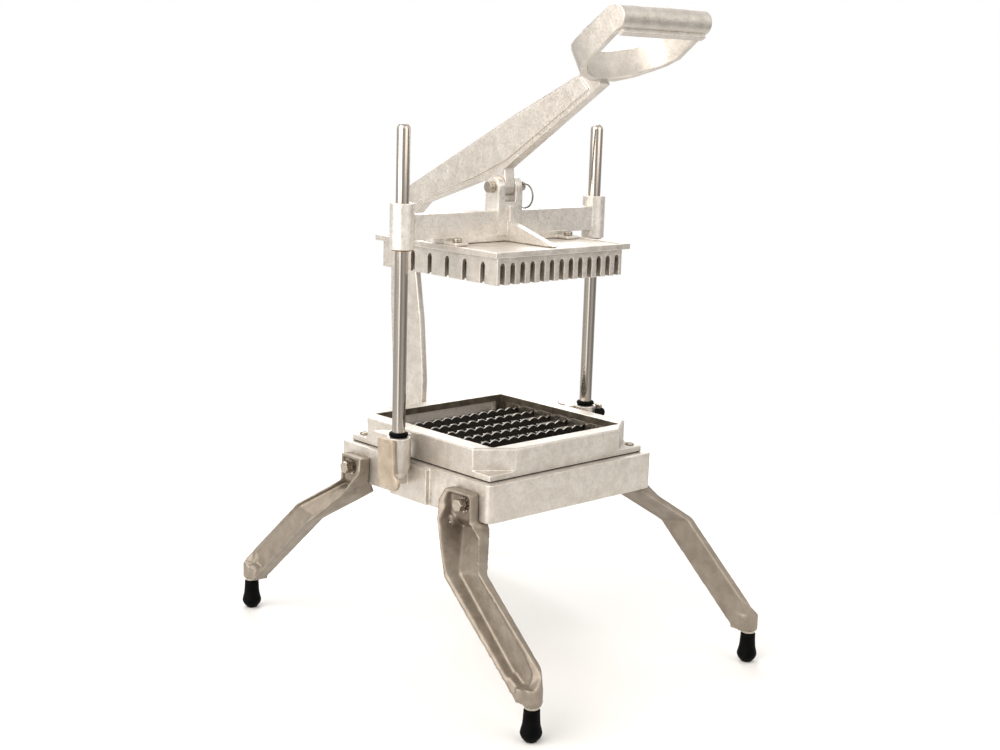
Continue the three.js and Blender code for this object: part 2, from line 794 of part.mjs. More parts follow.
function pushBlock() {
  const plateUnder = plateTop - plateThickness;
  const plate = box(-plateHalfX, plateHalfX, -plateHalfY, plateHalfY, plateUnder, plateTop);
  const body = box(-fingerHalfX, fingerHalfX, -fingerHalfY, fingerHalfY, fingerBottom, plateUnder + overrun);
  const insetX = plateHalfX - plateBorder;
  const insetY = plateHalfY - plateBorder;
  const recess = box(-insetX, insetX, -insetY, insetY, plateTop - plateRecess, plateTop + overrun);
  let block = cut(join(plate, body), recess);
  for (const [direction, count, pitch] of slotRows) {
    for (let i = 0; i < count; i += 1) {
      block = cut(block, fingerSlot(direction, (i - (count - 1) / 2) * pitch));
    }
  }
  for (const [, sideX, sideY] of corners) {
    const radius = capScrewRadius + clearance;
    block = cut(block, post(radius, sideX * mountHoleX, sideY * mountHoleY, fingerRoot, plateTop + overrun, holeSides));
  }
  return block;
}

place('push_block', pushBlock(), castAluminium);

// Crosshead: web from boss to boss, clevis on the middle, feet on the plate

const bossRadius = 11.6;
const bossHeadDrop = 12.2;
const bossLength = 43.2;
const bushWall = 2.4;
const bushLip = 1;
const runningGap = 0.06;
const webHalfThickness = 7;
const webDrop = 23;
const webDepth = 24;
const footHalfWidth = 8.5;
const footThickness = 3;
const footReach = 24;
const leverHalf = 6.3;
const clevisEar = 9;
const clevisHalfDepth = 10;
const clevisFloorDrop = 14;
const eyeRadius = 9;
const gussetInset = 10.3;
const gussetHalfThickness = 3.6;
const gussetDrop = 32;
const clevisRibHalf = 3.5;
const clevisHalfGap = leverHalf + clearance;
const bossTop = pinHeight - bossHeadDrop;
const bossBottom = bossTop - bossLength;
const webTop = pinHeight - webDrop;
const webBottom = webTop - webDepth;
const clevisFloor = pinHeight - clevisFloorDrop;
const gussetReach = plateHalfY - plateBorder - gussetInset;
const gussetHeight = pinHeight - gussetDrop;
const seatTop = plateTop - plateRecess;

function crosshead() {
  const web = box(-rodHalfSpan, rodHalfSpan, -webHalfThickness, webHalfThickness, webBottom, webTop);
  const flangeReach = plateHalfX - plateBorder - overrun;
  const flangeBottom = seatTop + clearance;
  const bottomFlange = box(-flangeReach, flangeReach, -footHalfWidth, footHalfWidth, flangeBottom, webBottom + overrun);
  let head = join(web, bottomFlange);
  for (const [, side] of sides) {
    head = join(head, post(bossRadius, side * rodHalfSpan, 0, bossBottom, bossTop, 36));
    const near = side * mountHoleX - footHalfWidth;
    const far = side * mountHoleX + footHalfWidth;
    head = join(head, box(near, far, -footReach, footReach, seatTop + clearance, seatTop + clearance + footThickness));
  }
  const cheekOutline = [
    [-clevisHalfDepth, webBottom],
    [clevisHalfDepth, webBottom],
    ...arc(0, pinHeight, clevisHalfDepth, 0, 0.5, 12),
  ];
  const clevisOuter = clevisHalfGap + clevisEar;
  const clevis = cut(
    prism('x', cheekOutline, -clevisOuter, clevisOuter),
    box(-clevisHalfGap, clevisHalfGap, -2 * clevisHalfDepth, 2 * clevisHalfDepth, clevisFloor, 2 * pinHeight),
  );
  const gussetBase = seatTop + clearance;
  const gusset = prism('x', [
    [-gussetReach, gussetBase],
    [gussetReach, gussetBase],
    [gussetReach, gussetBase + footThickness / 2],
    [clevisHalfDepth, gussetHeight],
    [-clevisHalfDepth, gussetHeight],
    [-gussetReach, gussetBase + footThickness / 2],
  ], -gussetHalfThickness, gussetHalfThickness);
  const rib = box(
    -clevisRibHalf,
    clevisRibHalf,
    -clevisHalfDepth - clevisRibHalf,
    clevisHalfDepth + clevisRibHalf,
    gussetHeight - clevisRibHalf,
    clevisFloor - clevisRibHalf,
  );
  head = join(head, clevis, gusset, rib);
  const outer = 2 * clevisOuter;
  head = cut(head, bar('x', pinRadius + clearance, [0, pinHeight], -outer, outer, 28));
  for (const [, side] of sides) {
    const x = side * rodHalfSpan;
    head = cut(head, post(rodRadius + bushWall + clearance, x, 0, bossBottom - overrun, bossTop + overrun, 36));
  }
  for (const [, sideX, sideY] of corners) {
    const radius = capScrewRadius + clearance;
    head = cut(head, post(radius, sideX * mountHoleX, sideY * mountHoleY, seatTop - overrun, webBottom + overrun, holeSides));
  }
  return head;
}

function rodBush(x) {
  const inner = rodRadius + runningGap;
  const outer = rodRadius + bushWall;
  return turned([
    [inner, bossBottom - bushLip],
    [outer + bushLip, bossBottom - bushLip],
    [outer + bushLip, bossBottom - clearance],
    [outer, bossBottom - clearance],
    [outer, bossTop],
    [inner, bossTop],
    [inner, bossBottom - bushLip],
  ], x, 0, 28);
}

function capScrew(x, y) {
  const seat = seatTop + clearance + footThickness + clearance;
  return turned([
    [0, fingerRoot + clearance],
    [capScrewRadius, fingerRoot + clearance],
    [capScrewRadius, seat],
    [capScrewRadius * 1.8, seat],
    [capScrewRadius * 1.8, seat + capScrewRadius * 1.2],
    [capScrewRadius * 1.4, seat + capScrewRadius * 1.6],
    [0, seat + capScrewRadius * 1.6],
  ], x, y, holeSides);
}

place('crosshead', crosshead(), castAluminium);
for (const [name, side] of sides) place(`rod_bush_${name}`, rodBush(side * rodHalfSpan), bronze);
for (const [name, sideX, sideY] of corners) {
  place(`block_screw_${name}`, capScrew(sideX * mountHoleX, sideY * mountHoleY), zincSteel);
}

// Clevis pin and the ring cotter through its end

const pinHeadReach = 6.5;
const pinHeadRadius = 5.4;
const pinTail = 9;
const cotterHoleOffset = 4.5;
const cotterWire = 0.8;
const cotterRadius = 12;
const cotterSwing = 0.72;
const cotterHoleRadius = 2.3;

function clevisPin() {
  const outer = clevisHalfGap + clevisEar;
  const centre = [0, pinHeight];
  const shank = bar('x', pinRadius, centre, -outer - pinHeadReach, outer + pinTail, 28);
  const head = bar('x', pinHeadRadius, centre, -outer - pinHeadReach, -outer - clearance, 28);
  const drill = new THREE.CylinderGeometry(cotterHoleRadius, cotterHoleRadius, 4 * pinRadius, 12);
  drill.rotateX(-cotterSwing);
  drill.translate(outer + cotterHoleOffset, 0, pinHeight);
  return cut(join(shank, head), solid(drill));
}

function ringCotter() {
  const x = clevisHalfGap + clevisEar + cotterHoleOffset;
  const steps = 28;
  const rings = [];
  for (let i = 0; i < steps; i += 1) {
    const angle = (2 * Math.PI * i) / steps;
    const y = cotterRadius * (Math.sin(angle) - Math.sin(cotterSwing));
    const z = pinHeight + cotterRadius * (Math.cos(angle) - Math.cos(cotterSwing));
    rings.push({ y, z, angle });
  }
  const wireSides = 6;
  const positions = [];
  for (const { y, z, angle } of rings) {
    for (let k = 0; k < wireSides; k += 1) {
      const turn = (2 * Math.PI * k) / wireSides;
      const radial = cotterWire * Math.cos(turn);
      positions.push(x + cotterWire * Math.sin(turn), y + radial * Math.sin(angle), z + radial * Math.cos(angle));
    }
  }
  const faces = [];
  for (let i = 0; i < steps; i += 1) {
    for (let k = 0; k < wireSides; k += 1) {
      const a = i * wireSides + k;
      const b = i * wireSides + ((k + 1) % wireSides);
      const c = ((i + 1) % steps) * wireSides + k;
      const d = ((i + 1) % steps) * wireSides + ((k + 1) % wireSides);
      faces.push(a, b, c, b, d, c);
    }
  }
  const geometry = new THREE.BufferGeometry();
  geometry.setAttribute('position', new THREE.Float32BufferAttribute(positions, 3));
  geometry.setIndex(faces);
  return solid(geometry);
}

place('clevis_pin', clevisPin(), zincSteel);
place('ring_cotter', ringCotter(), polishedSteel);

// Handle: fish-bellied lever with a D grip.  The lever lies in the plane X = 0.

const cheekProud = 2.1;
const cheekHalf = leverHalf + cheekProud;
const leverDepth = 60;
const gripAcross = 193;
const gripRise = 157.5;
const gripHeight = pinHeight + gripRise;
const gripRadius = 11;
const armHalfSpan = 54;
const armThickness = 7;
const lipShift = 3;
const lipDepth = 15;
const armWidth = 25;
const rearEyeRadius = 11;
const forkHalfGap = linkThickness / 2 + clearance;
const forkClearRadius = 19;
const linkPinRadius = 4.6;

// A frame along a line from one centre to another: shares of its length along it, of a width square to it
function lineFrame(from, to, width) {
  const run = [to[0] - from[0], to[1] - from[1]];
  const unit = width / Math.hypot(...run);
  return ([along, aside]) => [
    from[0] + run[0] * along - run[1] * unit * aside,
    from[1] + run[1] * along + run[0] * unit * aside,
  ];
}

const clevisCentre = [0, pinHeight];
const linkPinCentre = [leverPinAcross, rearPinHeight];
const hingeCentre = [linkFootAcross, linkFootHeight];
const toGrip = lineFrame(clevisCentre, [-gripAcross, gripHeight], leverDepth);
const toLinkPin = lineFrame(clevisCentre, linkPinCentre, leverDepth);

const frontTopShares = [[0.66, -0.249], [0.581, -0.349], [0.239, -0.718]];
const rearTopShares = [[0.758, 0.734], [0.856, 0.688], [0.95, 0.548], [0.99, 0.383]];
const rearUnderShares = [[0.829, 0.203], [0.711, 0.323], [0.173, 0.252]];
const frontUnderShares = [[0.066, -0.162], [0.665, 0.075]];

const leverOutline = [
  ...frontTopShares.map(toGrip),
  ...rearTopShares.map(toLinkPin),
  ...arc(leverPinAcross, rearPinHeight, rearEyeRadius, 0.03, -0.45, 12),
  ...rearUnderShares.map(toLinkPin),
  ...arc(0, pinHeight, eyeRadius, 0.05, -0.52, 14),
  ...frontUnderShares.map(toGrip),
].reverse();

const cheekFrontShares = [[0.6, -0.266], [0.239, -0.664]];
const cheekRearShares = [[0.75, 0.679], [0.85, 0.635], [0.94, 0.507], [1.03, 0.137]];
const cheekUnderShares = [[0.95, -0.11], [0.85, 0.247], [0.72, 0.375], [0.19, 0.323]];
const cheekReturnShares = [[0.1, -0.233], [0.61, -0.008]];

const cheekOutline = [
  ...cheekFrontShares.map(toGrip),
  ...cheekRearShares.map(toLinkPin),
  ...cheekUnderShares.map(toLinkPin),
  ...cheekReturnShares.map(toGrip),
].reverse();

// The grip loop lies in a plane that rises from the lever's end toward the grip
const loopRootShare = [0.6657, -0.1970];
const loopRoot = toGrip(loopRootShare);
const loopRise = new THREE.Vector2(-gripAcross - loopRoot[0], gripHeight - loopRoot[1]);
const loopReach = loopRise.length();
loopRise.normalize();

function loopPoint(x, along, up) {
  return new THREE.Vector3(
    x,
    loopRoot[0] + loopRise.x * along + loopRise.y * up,
    loopRoot[1] + loopRise.y * along - loopRise.x * up,
  );
}

// Each stop is [side, forward, middle, width]: shares of the arm span, of the loop's reach and of the arm
// width, from the grip round the inner end and back to the grip
const loopShares = [
  [-1, 1, 0.04, 0.84],
  [-1, 0.54, -0.1, 0.98],
  [-0.96, 0.4, -0.07, 0.94],
  [-0.84, 0.27, 0, 0.98],
  [-0.6, 0.12, 0.07, 1.08],
  [-0.3, 0.03, 0.1, 1.12],
  [0, 0.02, 0.1, 1.12],
  [0.3, 0.03, 0.1, 1.12],
  [0.6, 0.12, 0.07, 1.08],
  [0.84, 0.27, 0, 0.98],
  [0.96, 0.4, -0.07, 0.94],
  [1, 0.54, -0.1, 0.98],
  [1, 1, 0.04, 0.84],
];

function gripLoop() {
  const stops = loopShares.map(([x, along, middle, width]) => (
    [x * armHalfSpan, along * loopReach, middle * armWidth, (width * armWidth) / 2]));
  return loft(stops.map(([x, along, middle, halfWidth], i) => {
    const before = stops[Math.max(i - 1, 0)];
    const after = stops[Math.min(i + 1, stops.length - 1)];
    const run = new THREE.Vector2(after[0] - before[0], after[1] - before[1]).normalize();
    const half = armThickness / 2;
    return [[1, 1], [1, -1], [-1, -1], [-1, 1]].map(([inward, up]) => loopPoint(
      x - run.y * inward * half,
      along + run.x * inward * half,
      middle + up * halfWidth,
    ));
  }));
}

function handle() {
  const plate = prism('x', leverOutline, -leverHalf, leverHalf);
  const cheek = prism('x', cheekOutline, -cheekHalf, cheekHalf);
  const rearEye = bar('x', rearEyeRadius, linkPinCentre, -cheekHalf, cheekHalf);
  const gripEnd = armHalfSpan + armThickness / 2;
  const grip = bar('x', gripRadius, [-gripAcross, gripHeight], -gripEnd, gripEnd, 32);
  const lipLoop = (x) => [[-lipShift, 0], [lipShift, 0], [lipShift, -lipDepth], [-lipShift, -lipDepth]]
    .map(([along, up]) => loopPoint(x, loopReach - lipShift + along, up));
  const lip = loft([lipLoop(-armHalfSpan), lipLoop(armHalfSpan)]);
  const fork = box(
    -forkHalfGap,
    forkHalfGap,
    leverPinAcross - forkClearRadius,
    2 * leverPinAcross,
    rearPinHeight - 2 * rearEyeRadius,
    rearPinHeight + forkClearRadius,
  );
  const pinHole = bar('x', pinRadius + clearance, clevisCentre, -2 * cheekHalf, 2 * cheekHalf);
  const linkHole = bar('x', linkPinRadius + clearance, linkPinCentre, -2 * cheekHalf, 2 * cheekHalf);
  return cut(join(plate, cheek, rearEye, gripLoop(), grip, lip), fork, pinHole, linkHole);
}

place('handle', handle(), castAluminium);

// Link: tapered plate from the lever's fork to the rear hinge

const linkWidth = 50;
const linkTopRadius = 17;
const linkRearShares = [[-0.06, -0.3], [-0.031, -0.38], [0.064, -0.44], [0.343, -0.445], [0.668, -0.455]];
const linkTopShares = [[0.922, -0.401]];
const linkFrontShares = [[0.802, 0.426], [0.583, 0.534], [0.28, 0.577], [0.16, 0.53], [0.06, 0.38], [-0.04, 0.3]];
const linkBaseShares = [[-0.08, 0.18], [-0.093, 0], [-0.085, -0.16]];
const upLink = lineFrame(hingeCentre, linkPinCentre, linkWidth);
const linkOutline = [
  ...linkRearShares.map(upLink),
  ...linkTopShares.map(upLink),
  ...arc(leverPinAcross, rearPinHeight, linkTopRadius, 0.02, 0.5, 10),
  ...linkFrontShares.map(upLink),
  ...linkBaseShares.map(upLink),
];

function link() {
  const plate = prism('x', linkOutline, -linkThickness / 2, linkThickness / 2);
  return cut(
    plate,
    bar('x', footPinRadius + clearance, hingeCentre, -linkThickness, linkThickness),
    bar('x', linkPinRadius + clearance, linkPinCentre, -linkThickness, linkThickness),
  );
}

const pinHeadStep = 3;
const linkPinHead = 6.7;
const hingePinHead = 11;
const clipRing = 3.4;

function headedPin(centre, radius, headRadius, halfLength) {
  const shank = bar('x', radius, centre, -halfLength - overrun, halfLength + 2 * pinHeadStep, 24);
  const head = bar('x', headRadius, centre, -halfLength - clearance - pinHeadStep, -halfLength - clearance, 24);
  return join(shank, head);
}

function retainingClip(centre, radius, from) {
  const [a, b] = centre;
  const points = [
    ...arc(a, b, radius + clipRing, 0.83, 1.67, 20),
    ...arc(a, b, radius + clearance, 1.7, 0.8, 20),
  ];
  return prism('x', points, from, from + clipRing / 2);
}

function hingeWasher() {
  const from = earOuter + clearance;
  const disc = bar('x', hingePinHead, hingeCentre, from, from + pinHeadStep, 24);
  return cut(disc, bar('x', footPinRadius + clearance, hingeCentre, from - overrun, from + 2 * pinHeadStep, 24));
}

place('link', link(), castAluminium);
place('link_pin', headedPin(linkPinCentre, linkPinRadius, linkPinHead, cheekHalf), zincSteel);
place('link_clip', retainingClip(linkPinCentre, linkPinRadius, cheekHalf + clearance), zincSteel);
place('hinge_pin', headedPin(hingeCentre, footPinRadius, hingePinHead, earOuter), zincSteel);
place('hinge_washer', hingeWasher(), zincSteel);

group.updateMatrixWorld(true);

export default group;
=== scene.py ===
"""Looks of a counter-top vegetable cutter, a lever press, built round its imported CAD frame.

Lengths in the classes are millimetres in the CAD's own axes: X runs from rod to rod, -Y is the
operator's side, +Y the side of the link, +Z is up and the floor is at zero.
"""

import json
import logging
import math
from dataclasses import dataclass
from enum import Enum
from typing import Any, Iterable, Sequence

import bmesh
import bpy
from mathutils import Matrix, Vector
from mathutils.bvhtree import BVHTree
from mathutils.geometry import intersect_point_line

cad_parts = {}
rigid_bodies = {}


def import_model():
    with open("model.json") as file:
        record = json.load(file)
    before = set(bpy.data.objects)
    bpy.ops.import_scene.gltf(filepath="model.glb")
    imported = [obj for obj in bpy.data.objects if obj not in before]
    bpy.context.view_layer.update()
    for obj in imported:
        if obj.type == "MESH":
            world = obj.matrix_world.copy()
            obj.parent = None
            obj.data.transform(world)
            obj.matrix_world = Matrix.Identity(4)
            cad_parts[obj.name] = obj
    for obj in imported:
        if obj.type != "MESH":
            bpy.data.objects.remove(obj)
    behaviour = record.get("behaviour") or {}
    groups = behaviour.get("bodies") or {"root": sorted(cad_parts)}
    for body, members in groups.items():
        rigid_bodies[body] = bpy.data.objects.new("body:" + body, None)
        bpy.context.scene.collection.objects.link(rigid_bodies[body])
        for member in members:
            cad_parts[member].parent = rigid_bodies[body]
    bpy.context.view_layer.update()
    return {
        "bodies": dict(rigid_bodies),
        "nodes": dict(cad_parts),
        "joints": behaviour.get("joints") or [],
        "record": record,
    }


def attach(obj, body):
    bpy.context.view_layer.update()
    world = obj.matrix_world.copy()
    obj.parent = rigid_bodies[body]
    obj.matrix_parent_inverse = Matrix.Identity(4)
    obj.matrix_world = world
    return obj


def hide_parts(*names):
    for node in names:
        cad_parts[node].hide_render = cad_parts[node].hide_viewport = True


LOG = logging.getLogger("cutter")
MM = 0.001
Profile = Sequence[tuple[float, float]]
Point = tuple[float, float, float]
CORNERS = {"front_left": (-1, -1), "front_right": (1, -1), "rear_left": (-1, 1), "rear_right": (1, 1)}
SIDES = {"left": -1, "right": 1}
# Corners of a CAD solid that lie closer than this are one corner.
WELD_MM = 0.02
# An edge's rounding takes this share of the room that its faces leave it.
ROOM_SHARE = 0.85
# The narrowest rounding, as a share of a full one.
LEAST_WEIGHT = 0.02
# How far a rounding's corner may lie under the sharp skin or be thrown aside, in full roundings.
DEPTH_SHARE = 0.45
THROW_SHARE = 2.5
# Most values of a noise texture lie between these limits.
NOISE = {"From_Min": 0.3, "From_Max": 0.7}
# Makes a Mix node one that mixes colours.
RGBA = {"data_type": "RGBA"}


class Axis(Enum):
    """The direction that a turned piece points in."""

    X = Matrix.Rotation(math.pi / 2, 4, "Y")
    MINUS_Y = Matrix.Rotation(math.pi / 2, 4, "X")
    Z = Matrix.Identity(4)


class Layout(Enum):
    """How a Geometry Nodes tree lays out the copies of a blank."""

    GRID = "grid"
    POINTS = "points"


def linear(hex_colour: str) -> tuple[float, float, float, float]:
    """Turns an sRGB hex colour to the linear values that a shader takes, by the sRGB curve.

    Args:
        hex_colour: six hex digits.

    Returns:
        Linear red, green and blue with an alpha of one.
    """
    channels = [int(hex_colour[i : i + 2], 16) / 255 for i in (0, 2, 4)]
    red, green, blue = (c / 12.92 if c <= 0.04045 else ((c + 0.055) / 1.055) ** 2.4 for c in channels)
    return red, green, blue, 1.0


def per_metre(size_mm: float) -> float:
    """The texture scale at which one cell of a pattern is size_mm wide."""
    return 1 / (size_mm * MM)


def add(
    tree: bpy.types.NodeTree, kind: str, settings: dict[str, Any] | None = None, **inputs: Any
) -> bpy.types.Node:
    """Adds a node, sets its properties and fills or links its inputs.

    Args:
        tree: the tree that the node joins.
        kind: the node's type name.
        settings: the node's own properties.
        **inputs: input names with underscores for spaces, or i and an index. A socket is linked,
            and so is a node, by the first output that it has in use.

    Returns:
        The new node.
    """
    node = tree.nodes.new(kind)
    for name, value in (settings or {}).items():
        setattr(node, name, value)
    for name, value in inputs.items():
        key = int(name[1:]) if name[0] == "i" and name[1:].isdigit() else name.replace("_", " ")
        if isinstance(value, bpy.types.Node):
            value = next(output for output in value.outputs if output.enabled)
        if isinstance(value, bpy.types.NodeSocket):
            tree.links.new(value, node.inputs[key])
        else:
            node.inputs[key].default_value = value
    return node


@dataclass(frozen=True)
class Finish:
    """A surface finish in two colours that a pattern mixes: light where it is high, dark where low.

    Its name isn't that of one of the record's slots, because the CAD's own materials have those.
    """

    name: str
    light: str
    dark: str
    roughness: float

    def blank(self) -> tuple[bpy.types.Material, bpy.types.NodeTree, bpy.types.NodeSocket]:
        """Makes an empty node material.

        Returns:
            The material, its tree and its Object coordinates.
        """
        material = bpy.data.materials.new(self.name)
        material.use_nodes = True
        tree = material.node_tree
        tree.nodes.clear()
        return material, tree, add(tree, "ShaderNodeTexCoord").outputs["Object"]

    def close(
        self,
        tree: bpy.types.NodeTree,
        colour: bpy.types.Node,
        pattern: bpy.types.Node,
        rough: tuple[float, float],
        bump: bpy.types.Node,
        **inputs: Any,
    ) -> None:
        """Ends a tree in a Principled shader.

        Args:
            tree: the material's tree.
            colour: what gives the base colour.
            pattern: the noise that varies the roughness.
            rough: the roughness where the noise is low and where it is high.
            bump: what gives the normal.
            **inputs: the shader's other inputs, as add takes them.
        """
        spread = add(tree, "ShaderNodeMapRange", Value=pattern, **NOISE, To_Min=rough[0], To_Max=rough[1])
        own = {"Base_Color": colour, "Roughness": spread, "Normal": bump}
        shader = add(tree, "ShaderNodeBsdfPrincipled", **own, **inputs)
        add(tree, "ShaderNodeOutputMaterial", Surface=shader)

    def material(self) -> bpy.types.Material:
        """The finish's material, made on its first use."""
        return bpy.data.materials.get(self.name) or self.make()

    def make(self) -> bpy.types.Material:
        """Builds the node tree; each kind of finish has its own."""
        raise NotImplementedError


@dataclass(frozen=True)
class CastAluminium(Finish):
    """Sand-cast aluminium, tumbled: a satin skin with soft cloudy patches, a grain and a few pits.

    Its metallic value stays under one, because the oxide on a tumbled skin greys its reflections.
    The sand's real grain is about 0.4 mm. It is drawn at grain_mm, about two pixels of the camera's
    view, because a finer one doesn't show.
    """

    metallic: float = 0.82
    grain_mm: float = 2.2
    grain_tone: tuple[float, float] = (0.89, 1.06)
    grain_rise_mm: float = 0.1
    cloud_mm: float = 12.0
    cloud_span: tuple[float, float] = (0.35, 0.68)
    cloud_rise_mm: float = 0.8
    cloud_strength: float = 0.6
    pit_mm: float = 9.0
    pit_rim: tuple[float, float] = (0.04, 0.09)
    pit_tone: float = 0.72
    rough_spread: tuple[float, float] = (-0.07, 0.09)

    def make(self) -> bpy.types.Material:
        """Builds clouds of colour, a grain in the roughness and bump, and a few darker pits.

        Returns:
            The material.
        """
        material, tree, place = self.blank()
        cloud = add(tree, "ShaderNodeTexNoise", Vector=place, Scale=per_metre(self.cloud_mm), Detail=4.0)
        low, high = self.cloud_span
        patch = add(tree, "ShaderNodeMapRange", Value=cloud, From_Min=low, From_Max=high)
        grain = add(tree, "ShaderNodeTexNoise", Vector=place, Scale=per_metre(self.grain_mm), Detail=2.0)
        tint = add(tree, "ShaderNodeMix", RGBA, i0=patch, i6=linear(self.dark), i7=linear(self.light))
        cell = add(tree, "ShaderNodeTexVoronoi", Vector=place, Scale=per_metre(self.pit_mm))
        low, high = self.pit_rim
        pit = add(tree, "ShaderNodeMapRange", Value=cell, From_Min=low, From_Max=high, To_Min=self.pit_tone)
        low, high = self.grain_tone
        speckle = add(tree, "ShaderNodeMapRange", Value=grain, **NOISE, To_Min=low, To_Max=high)
        dim = add(tree, "ShaderNodeMath", {"operation": "MULTIPLY"}, i0=pit, i1=speckle)
        colour = add(tree, "ShaderNodeVectorMath", {"operation": "SCALE"}, i0=tint, Scale=dim)
        rise = {"Distance": self.cloud_rise_mm * MM, "Strength": self.cloud_strength}
        swell = add(tree, "ShaderNodeBump", Height=cloud, **rise)
        bump = add(tree, "ShaderNodeBump", Height=grain, Distance=self.grain_rise_mm * MM, Normal=swell)
        rough = (self.roughness + self.rough_spread[0], self.roughness + self.rough_spread[1])
        self.close(tree, colour, grain, rough, bump, Metallic=self.metallic)
        return material


@dataclass(frozen=True)
class DrawnSteel(Finish):
    """Ground, drawn or plated metal: even colour with fine scratches, long in one direction.

    The real scratches are some hundredths of a millimetre wide. They are drawn at scratch_mm,
    because finer ones don't show.
    """

    scratch_mm: Point
    bump_mm: float = 0.004
    rough_share: tuple[float, float] = (0.75, 1.35)

    def make(self) -> bpy.types.Material:
        """Builds stretched noise that varies the colour, roughness and bump.

        Returns:
            The material.
        """
        material, tree, place = self.blank()
        scale = [per_metre(size) for size in self.scratch_mm]
        stretched = add(tree, "ShaderNodeMapping", Vector=place, Scale=scale)
        scratch = add(tree, "ShaderNodeTexNoise", Vector=stretched, Scale=1.0, Detail=3.0)
        colour = add(tree, "ShaderNodeMix", RGBA, i0=scratch, i6=linear(self.dark), i7=linear(self.light))
        bump = add(tree, "ShaderNodeBump", Height=scratch, Distance=self.bump_mm * MM)
        rough = (self.roughness * self.rough_share[0], self.roughness * self.rough_share[1])
        self.close(tree, colour, scratch, rough, bump, Metallic=1.0)
        return material


@dataclass(frozen=True)
class Rubber(Finish):
    """Moulded black rubber or plastic: dull, with a faint bloom and the mould's fine texture.

    The mould's real texture is about 0.1 mm. It is drawn at texture_mm, because a finer one
    doesn't show.
    """

    bloom_mm: float = 8.0
    bloom_span: tuple[float, float] = (0.45, 0.75)
    texture_mm: float = 0.7
    bump_mm: float = 0.02
    specular: float = 0.05
    rough_spread: tuple[float, float] = (-0.1, 0.12)

    def make(self) -> bpy.types.Material:
        """Builds the bloom in the colour and the texture in the bump.

        Returns:
            The material.
        """
        material, tree, place = self.blank()
        dust = add(tree, "ShaderNodeTexNoise", Vector=place, Scale=per_metre(self.bloom_mm), Detail=3.0)
        texture = add(tree, "ShaderNodeTexNoise", Vector=place, Scale=per_metre(self.texture_mm), Detail=1.0)
        low, high = self.bloom_span
        patch = add(tree, "ShaderNodeMapRange", Value=dust, From_Min=low, From_Max=high)
        colour = add(tree, "ShaderNodeMix", RGBA, i0=patch, i6=linear(self.dark), i7=linear(self.light))
        bump = add(tree, "ShaderNodeBump", Height=texture, Distance=self.bump_mm * MM)
        rough = (self.roughness + self.rough_spread[0], self.roughness + self.rough_spread[1])
        self.close(tree, colour, dust, rough, bump, Metallic=0.0, Specular_IOR_Level=self.specular)
        return material


@dataclass(frozen=True)
class Finishes:
    """All the finishes of the press; the comment over each says what it gives the eye."""

    # Pale warm silver, satin, with the soft clouds that tumbling leaves.
    casting: Finish = CastAluminium("cast_aluminium_tumbled", "d4cec6", "c6bfb6", 0.44)
    # The same metal on every rounded edge, paler and a little glossier: rubbed by hands, and painted paler as
    # a highlight.
    casting_edge: Finish = CastAluminium("cast_aluminium_worn_edge_and_highlight", "dfd9d1", "d2cbc2", 0.38)
    # A casting painted paler as the light that its faces catch high on the machine, the palest of them.
    bright: Finish = CastAluminium("cast_aluminium_painted_lit", "e6e1da", "dad4cc", 0.42)
    # Walls round the blades, painted dark as the shade inside the holder's throat, and dull.
    throat_shade: Finish = CastAluminium("throat_wall_painted_shade", "6a6154", "4a4339", 0.5)
    # Faces inside the finger slots: greyer, darker and rougher than the outside.
    slot: Finish = CastAluminium("finger_slot_skin", "b0a69a", "9a9083", 0.55)
    # Painted shade that turns the crevice under the blade holder's flange to a dark matt line.
    joint: Finish = CastAluminium("joint_line_painted_shade", "4a443b", "332e27", 0.6)
    # Keeper plates left as cast: a warm brownish grey beside the pale base.
    keeper: Finish = CastAluminium("keeper_plate_skin", "bfb1a0", "a89a88", 0.5)
    # Legs with a duller grey skin, painted darker than the machine on top of them as shade for their low,
    # channelled place.
    leg: Finish = CastAluminium("leg_casting", "9a9084", "8a8074", 0.5)
    # Centreless-ground stainless: a near mirror with faint lines along the rod.
    rod: Finish = DrawnSteel("ground_stainless_rod", "cdc5bb", "b3aaa0", 0.13, (0.6, 0.6, 30.0))
    # Zinc plate: a blurred, slightly yellow shine, uneven from spot to spot.
    zinc: Finish = DrawnSteel("zinc_plated_steel", "c0b7aa", "978e81", 0.3, (1.5, 1.5, 1.5))
    # Rolled blade strip, painted dark as the shade inside the holder, lines running along the strip.
    blade: Finish = DrawnSteel("blade_strip_steel_painted_shade", "4f4b46", "2f2d2a", 0.38, (6.0, 6.0, 0.4))
    # The ground cutting edge, paler than the strip: ground metal with a painted highlight, the scalloped
    # lines of the grid.
    blade_edge_highlight: Finish = DrawnSteel("ground_blade_edge_highlight", "b5b1ab", "8d8984", 0.3, (0.5, 0.5, 4.0))
    # Moulded rubber: almost black, without a highlight.
    rubber: Finish = Rubber("moulded_black_rubber", "080808", "020202", 0.5)
    # Phenolic resin: black with a soft highlight.
    knob: Finish = Rubber("black_phenolic_knob", "141413", "060606", 0.3)
    # Sintered bronze: dull brown gold, even in every direction.
    bronze: Finish = DrawnSteel("sintered_bronze", "a67f4e", "7c5a33", 0.4, (0.8, 0.8, 0.8))
    # Spring wire: dark grey with a satin shine.
    wire: Finish = DrawnSteel("spring_wire", "8f8a83", "5f5a54", 0.25, (1.0, 1.0, 1.0))


FINISH = Finishes()


def placed(name: str, data: bpy.types.ID) -> bpy.types.Object:
    """Puts a mesh, light or camera in the scene as an object at the origin.

    Args:
        name: the object's name.
        data: what it holds.

    Returns:
        The object.
    """
    thing = bpy.data.objects.new(name, data)
    bpy.context.scene.collection.objects.link(thing)
    return thing


